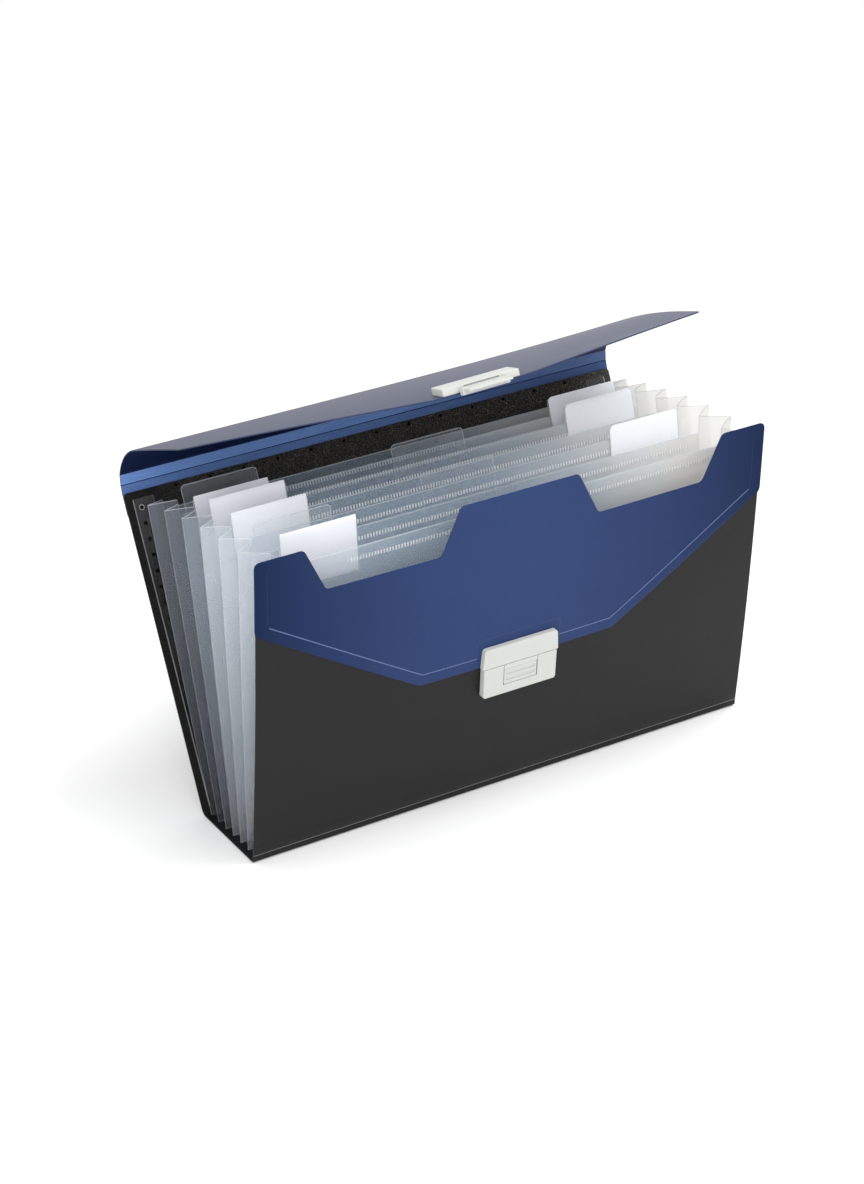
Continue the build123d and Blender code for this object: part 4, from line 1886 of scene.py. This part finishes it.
@dataclass
class Tabs:
    """Clear index sleeves on the sheets, and the label cards in some of them."""

    folder: Folder
    height: float = 38.0
    gap: float = 0.9
    ply: float = 0.3
    rim: float = 1.2
    corner: float = 3.0
    sheet: float = 0.5
    sheet_gap: float = 0.05
    card: float = 0.3
    card_bow: float = 0.2
    card_rise: float = 0.5
    card_corner: float = 0.4
    pale_edge: float = 0.6

    @property
    def sleeve_front(self) -> float:
        """How far a sleeve's front stands off the middle of its sheet."""
        return self.sheet / 2 + 2 * self.ply + self.gap

    @property
    def card_front(self) -> float:
        """How far a card's front stands off the middle of its sheet."""
        return self.sheet / 2 + self.ply + (self.gap + self.card) / 2

    def build(self) -> None:
        """Make a sleeve for each tab node and a card for each card node."""
        for node in sorted(frame["nodes"]):
            kind, _, rest = node.partition("_")
            if kind == "tab":
                self.build_sleeve(node, int(rest[0]))
            elif kind == "card":
                self.build_card(node, int(rest[0]), rest[2:])

    def extent(self, node: str, number: int, front: float) -> Triple:
        """Extent of a node on its sheet's face.

        Args:
            node: The node's name.
            number: The sheet that it stands on.
            front: How far its front stands off the middle of the sheet.

        Returns:
            Its left end, right end and top.
        """
        low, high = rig.box(node)
        lean = math.radians(self.folder.lean(number))
        top = (high.z / MM - self.folder.sheet_bottom - front * math.sin(lean)) / math.cos(lean)
        return low.x / MM, high.x / MM, top

    def build_sleeve(self, node: str, number: int) -> None:
        """A sleeve of two plies, sealed at the sides and the foot and open at the top.

        Args:
            node: The node that it replaces.
            number: The sheet that it stands on.
        """
        left, right, top = self.extent(node, number, self.sleeve_front)
        face = self.folder.sheet(number)
        foot = top - self.height
        back_skin = self.sheet / 2 + self.ply + self.sheet_gap
        edges = level(left, right, foot), top_with_rounds(left, right, top, self.corner)

        def front_ply(u: float, v: float, n: float) -> Vector:
            """The front ply, standing off the back one between its seals.

            Args:
                u: Millimetres along X.
                v: Millimetres up the sheet.
                n: Millimetres out of the ply.

            Returns:
                The scene point of that place.
            """
            share = min(1.0, max(0.0, min(u - left, right - u, v - foot) / self.rim))
            stand = self.gap * share * share * (3 - 2 * share)
            return face.at(u, v, n + back_skin + self.ply + stand)

        back = Cut(
            f"tab_sleeve{node[3:]}", *edges, self.ply, TAB, SHEET_RIM_HIGHLIGHT, spacing=9.0, edge_round=0.0,
            row_places=(0.0, 0.25, 0.5, 0.75, 1.0 - self.pale_edge / self.height, 1.0),
            # The band round the sleeve's edges takes the paler film: painted highlight
            stressed=lambda u, v: min(u - left, right - u, edges[1].at(u) - v) < self.pale_edge,
        ).build(raised(face.at, back_skin))
        front = Cut(
            "front_ply", *edges, self.ply, TAB_FRONT, SHEET_RIM_HIGHLIGHT, rows=20, spacing=1.2, edge_round=0.0
        ).build(front_ply)
        hand_over(join([back, front]), TAB, f"leaf_{number}", [node])

    def build_card(self, node: str, number: int, column: str) -> None:
        """A label card, square in the left column and rounded in the right one.

        Args:
            node: The node that it replaces.
            number: The sheet that it stands on.
            column: Where it stands on the sheet.
        """
        left, right, top = self.extent(node, number, self.card_front)
        face = self.folder.sheet(number)
        foot = top - self.height + self.card_rise
        middle, half = (left + right) / 2, (right - left) / 2

        def bowed(u: float, v: float, n: float) -> Vector:
            """The card, bowed a little in its sleeve."""
            up = math.sin(math.pi * (v - foot) / (top - foot))
            return face.at(u, v, n + self.card_front + self.card_bow * (1 - ((u - middle) / half) ** 2) * up)

        corner = self.corner if column == Side.RIGHT.word else self.card_corner
        card = Cut(
            f"label_{node}", level(left, right, foot), top_with_rounds(left, right, top, corner), self.card,
            CARD, rows=10, spacing=5.0, edge_round=0.05,
        ).build(bowed)
        hand_over(card, CARD, f"slip_{number}_{column}", [node])


@dataclass
class Gussets:
    """Pleated film at both ends, folding with the fan."""

    folder: Folder
    count: int = 7
    # The left pleat where the darker copies of the film start: painted shade
    grey: int = 5
    film: float = 0.3
    left_leg: float = 19.1
    right_leg: float = 20.5
    foot: float = 3.3
    height: float = 208.5
    drop: float = 0.7
    rows: int = 13
    fold_line: float = 0.022
    spread: float = 0.15
    front_gap: float = 0.3
    fold_round: float = 0.05
    fullness: float = -0.10
    pale_edge: float = 0.4

    def build(self) -> None:
        """Make every pleat of both sides and let each follow its two neighbours."""
        for side in Side:
            self.build_first(side)
            for number in range(2, self.count + 1):
                self.build_pleat(side, number)

    def leg(self, side: Side) -> float:
        """Length of a pleat's leg on a side."""
        return self.left_leg if side is Side.LEFT else self.right_leg

    def finishes(self, side: Side, number: int) -> tuple[FilmFinish, FilmFinish]:
        """Film and edge of a pleat: on the right a paler, hazier copy as painted light shining through with edges in
        painted shade, and on the left darker copies towards the back as painted shade with edges in painted highlight.

        Args:
            side: The end of the folder.
            number: The pleat, counted from the front.

        Returns:
            The finishes of its film and of its edge.
        """
        if side is Side.RIGHT:
            return FILM_PAINTED_LIGHT, FILM_EDGE_SHADE
        if number == self.grey:
            return FILM_PAINTED_SHADE, FILM_RIM_HIGHLIGHT
        return (FILM if number < self.grey else FILM_PAINTED_DARK_SHADE), FILM_RIM_HIGHLIGHT

    def columns(self, height: float) -> Edge:
        """A level edge with points at both sides of the fold."""
        return Edge([Corner(w, height) for w in (-1.0, -self.fold_line, self.fold_line, 1.0)])

    def half_gap(self, number: int, rise: float) -> float:
        """Half the room between two sheets.

        Args:
            number: The sheet behind the room.
            rise: Height above the sheets' feet.

        Returns:
            Half the room there.
        """
        lean = math.radians(self.folder.lean(number - 0.5))
        pitch = self.folder.sheet_place(number) - self.folder.sheet_place(number - 1)
        step = math.radians(self.folder.lean(2))
        return pitch / 2 * math.cos(lean) + rise * math.tan(step / 2) - self.spread

    def build_pleat(self, side: Side, number: int) -> None:
        """One pleat: two legs out to a rounded fold and back, between two sheets.

        Args:
            side: The end of the folder.
            number: The sheet behind the pleat.
        """
        face = self.folder.sheet(number - 0.5)
        sharp = self.fold_round
        scale = math.hypot(1.0, sharp) - sharp
        top = self.height - (number - 1) * self.drop
        finish, rim = self.finishes(side, number)

        def fold(w: float, rise: float, n: float) -> Vector:
            """The pleat, folded out to its side.

            Args:
                w: Place across it, from -1 at the back leg to 1 at the front one.
                rise: Height above the sheets' feet.
                n: Millimetres towards the front.

            Returns:
                The scene point of that place.
            """
            half = self.half_gap(number, rise)
            depth = math.sqrt(self.leg(side) ** 2 - half**2)
            share = (math.hypot(w, sharp) - sharp) / scale
            u = self.folder.film_start + depth * (1 - share)
            return face.at(side.value * u, rise, half * (w + self.fullness * math.sin(math.pi * w)) + n)

        pleat = Cut(
            f"pleat_film_{side.word}_{number}", self.columns(self.foot), self.columns(top), self.film, finish,
            rim, spacing=0.08, edge_round=0.0, outward=0.0,
            row_places=(*(k / self.rows for k in range(self.rows)), 1.0 - self.pale_edge / top, 1.0),
            # Folds and the top band take the edge film: painted highlight on the left, painted shade on the right
            stressed=lambda w, rise: abs(w) < self.fold_line or rise > top - self.pale_edge,
        ).build(fold)
        hand_over(pleat, finish, None, [f"pleat_{side.word}_{number}"], Smoothing.ROUND)
        # The blend starts ahead of the front leg, so that this leg follows its own sheet's share of the turn
        front_share = (number - 2) / (number - 1)
        start_share = 0.5 - math.sin(math.asin(1 - 2 * front_share) / 3)
        half = self.half_gap(number, top)
        length = 2 * half / (1 - start_share)
        end = face.at(0.0, top, -half)
        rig.blend(pleat, "spine_base", f"leaf_{number}", end + face.out * length * MM, end)

    def build_first(self, side: Side) -> None:
        """The single leg from the first sheet's end to the inside of the front.

        Args:
            side: The end of the folder.
        """
        folder, front = self.folder, self.folder.front
        back = folder.sheet_place(1) - self.spread
        finish, rim = self.finishes(side, 1)

        def lean_over(w: float, rise: float, n: float) -> Vector:
            """The leg, leaning out to the front.

            Args:
                w: Place across it, from 0 at the sheet to 1 at the front.
                rise: Height above the sheet's foot.
                n: Millimetres towards the back.

            Returns:
                The scene point of that place.
            """
            level_z = folder.sheet_bottom + rise
            v = level_z / front.up.z
            bow = folder.bow(folder.half_width, min(v, folder.front_height))
            reach = front.origin.y + front.up.y * v + (folder.board - bow + self.front_gap)
            depth = math.sqrt(self.leg(side) ** 2 - (back - reach) ** 2)
            curve = w - self.fullness * math.sin(math.pi * w)
            u = side.value * (folder.film_start + depth * w)
            return Vector((u, back + (reach - back) * curve + n, level_z)) * MM

        leg = Cut(
            f"pleat_film_{side.word}_1", level(0.0, 1.0, self.foot), level(0.0, 1.0, self.height), self.film,
            finish, rim, rows=14, spacing=0.1, edge_round=0.0, outward=0.0,
        ).build(lean_over)
        hand_over(leg, finish, None, [f"pleat_{side.word}_1"], Smoothing.ROUND)
        start, end = (lean_over(w, self.height, 0.0) for w in (0.0, 1.0))
        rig.blend(leg, "spine_base", "front_cover", start, end)


@dataclass
class Spine:
    """The channel that the folder stands on, and the thin folds between it and the covers."""

    folder: Folder
    fold_sheet: float = 0.6
    fold_lap: float = 1.1
    fold_gap: float = 0.3

    def build(self) -> None:
        """Dress the spine's own solid and make both folds."""
        folder = self.folder
        self.build_fold("front_fold", folder.front, folder.front_foot, "front_cover")
        self.build_fold("back_fold", folder.back, folder.back_foot, "back_cover")
        dress("spine", BLACK)
        log.info("spine: the frame's solid, dressed")

    def build_fold(self, name: str, face: Face, foot: float, body: str) -> None:
        """One fold, inside the thickness of the boards that it joins.

        Args:
            name: The piece's name.
            face: The cover's face.
            foot: Height on it where the cover starts.
            body: The cover's body.
        """
        half = self.folder.half_width
        spine_end = foot - self.fold_gap
        inside = raised(face.at, -self.folder.board / 2)
        fold = Cut(
            name, level(-half, half, spine_end - self.fold_lap), level(-half, half, foot + self.fold_lap),
            self.fold_sheet, BLACK, rows=6, spacing=30.0, edge_round=0.0, outward=0.0,
        ).build(inside)
        hand_over(fold, BLACK, None)
        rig.blend(fold, "spine_base", body, inside(0.0, spine_end, 0.0), inside(0.0, foot, 0.0))


@dataclass
class Studio:
    """White floor, soft light from the upper right and the camera of the photograph."""

    floor_size: float = 12.0
    floor_drop: float = 0.0004
    floor_white: float = 0.98
    shadow_reach: float = 0.3
    floor_reach: float = 0.9
    ambient: float = 0.95
    backdrop: float = 1.0
    key_power: float = 32.0
    key_size: float = 1.6
    key_place: Triple = (1.1, -0.3, 2.3)
    fill_power: float = 23.0
    fill_size: float = 1.8
    fill_place: Triple = (-1.6, -1.9, 1.4)
    azimuth: float = -31.67
    elevation: float = 28.31
    distance: float = 1.99483
    target: Triple = (-0.0278, 0.0125, 0.1248)
    sensor: float = 36.0
    lens: float = 95.51
    shift: Point = (0.00085, 0.00127)
    clear_layers: int = 48

    def build(self) -> None:
        """Set the floor, the light and the camera."""
        scene = bpy.context.scene
        scene.view_settings.view_transform = "Standard"
        scene.cycles.transparent_max_bounces = self.clear_layers
        self.build_floor()
        self.build_world(scene)
        self.build_lamp("key_light", self.key_place, self.key_size, self.key_power)
        self.build_lamp("fill_light", self.fill_place, self.fill_size, self.fill_power)
        self.build_camera(scene)

    @staticmethod
    def shown(desk: ShaderDesk) -> Wire:
        """One for what is seen, mirrored or seen through, and zero for the light itself."""
        rays = [desk.node("ShaderNodeLightPath", {}, {}, f"Is {kind} Ray") for kind in SHOWN_TO]
        return (rays[0] + rays[1] + rays[2]) > 0.5

    def build_floor(self) -> None:
        """A floor that keeps the folder's shadow, and is plain white further away."""
        floor = fresh(
            "floor", bpy.ops.mesh.primitive_plane_add, size=self.floor_size,
            location=(0.0, 0.0, -self.floor_drop),
        )
        material = bpy.data.materials.new("floor_white")
        material.use_nodes = True
        desk = ShaderDesk(material.node_tree)
        matt = desk.node("ShaderNodeBsdfDiffuse", {}, {"Color": (*(self.floor_white,) * 3, 1.0)})
        glow = desk.node("ShaderNodeEmission", {}, {"Color": (*WHITE, 1.0)})
        away = desk.node("ShaderNodeVectorMath", {"operation": "LENGTH"}, {0: desk.place()}, "Value")
        far = desk.ramp(away * (1 / self.floor_reach), self.shadow_reach / self.floor_reach, 1.0)
        desk.show(desk.mix_shader(self.shown(desk) * far, matt, glow))
        floor.data.materials.append(material)
        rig.stage(floor)

    def build_world(self, scene: bpy.types.Scene) -> None:
        """Even light, with a white backdrop for what is seen, mirrored or seen through.

        Args:
            scene: The scene that is lit.
        """
        world = bpy.data.worlds.new("studio")
        scene.world = world
        world.use_nodes = True
        desk = ShaderDesk(world.node_tree)
        strength = self.shown(desk) * (self.backdrop - self.ambient) + self.ambient
        light = desk.node("ShaderNodeBackground", {}, {"Color": (*WHITE, 1.0), "Strength": strength})
        desk.node("ShaderNodeOutputWorld", {}, {"Surface": light})

    def build_lamp(self, name: str, place: Triple, size: float, power: float) -> None:
        """A soft square lamp that faces the folder.

        Args:
            name: The lamp's name.
            place: Where it hangs.
            size: Length of its sides.
            power: Its power in watts.
        """
        lamp = bpy.data.lights.new(name, "AREA")
        lamp.size = size
        lamp.energy = power
        holder = bpy.data.objects.new(name, lamp)
        holder.location = place
        holder.rotation_euler = (Vector(self.target) - Vector(place)).to_track_quat("-Z", "Y").to_euler()
        bpy.context.scene.collection.objects.link(holder)

    def build_camera(self, scene: bpy.types.Scene) -> None:
        """The camera at the photograph's viewing angle.

        Args:
            scene: The scene that it looks at.
        """
        data = bpy.data.cameras.new("camera")
        data.sensor_fit = "VERTICAL"
        data.sensor_height = self.sensor
        data.lens = self.lens
        data.shift_x, data.shift_y = self.shift
        holder = bpy.data.objects.new("camera", data)
        scene.collection.objects.link(holder)
        turn, rise = math.radians(self.azimuth), math.radians(self.elevation)
        away = Vector((math.sin(turn) * math.cos(rise), -math.cos(turn) * math.cos(rise), math.sin(rise)))
        holder.location = Vector(self.target) + away * self.distance
        holder.rotation_euler = (-away).to_track_quat("-Z", "Y").to_euler()
        scene.camera = holder


def main() -> None:
    """Build every sub-assembly in order, and note the size of the dressed folder."""
    logging.basicConfig(level=logging.INFO, format="%(name)s: %(message)s")
    folder = Folder()
    Studio().build()
    for assembly in (Spine, FrontCover, FrontClasp, BackCover, FlapCover, Fan, Tabs, Gussets):
        assembly(folder).build()
        log.info("%s done", assembly.__name__)
    boxes = {"cad": [list(corner) for corner in cad_box], "visual": [list(corner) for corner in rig.bounds()]}
    with open(SIZE_FILE, "w") as file:
        json.dump(boxes, file)


if __name__ == "__main__":
    main()
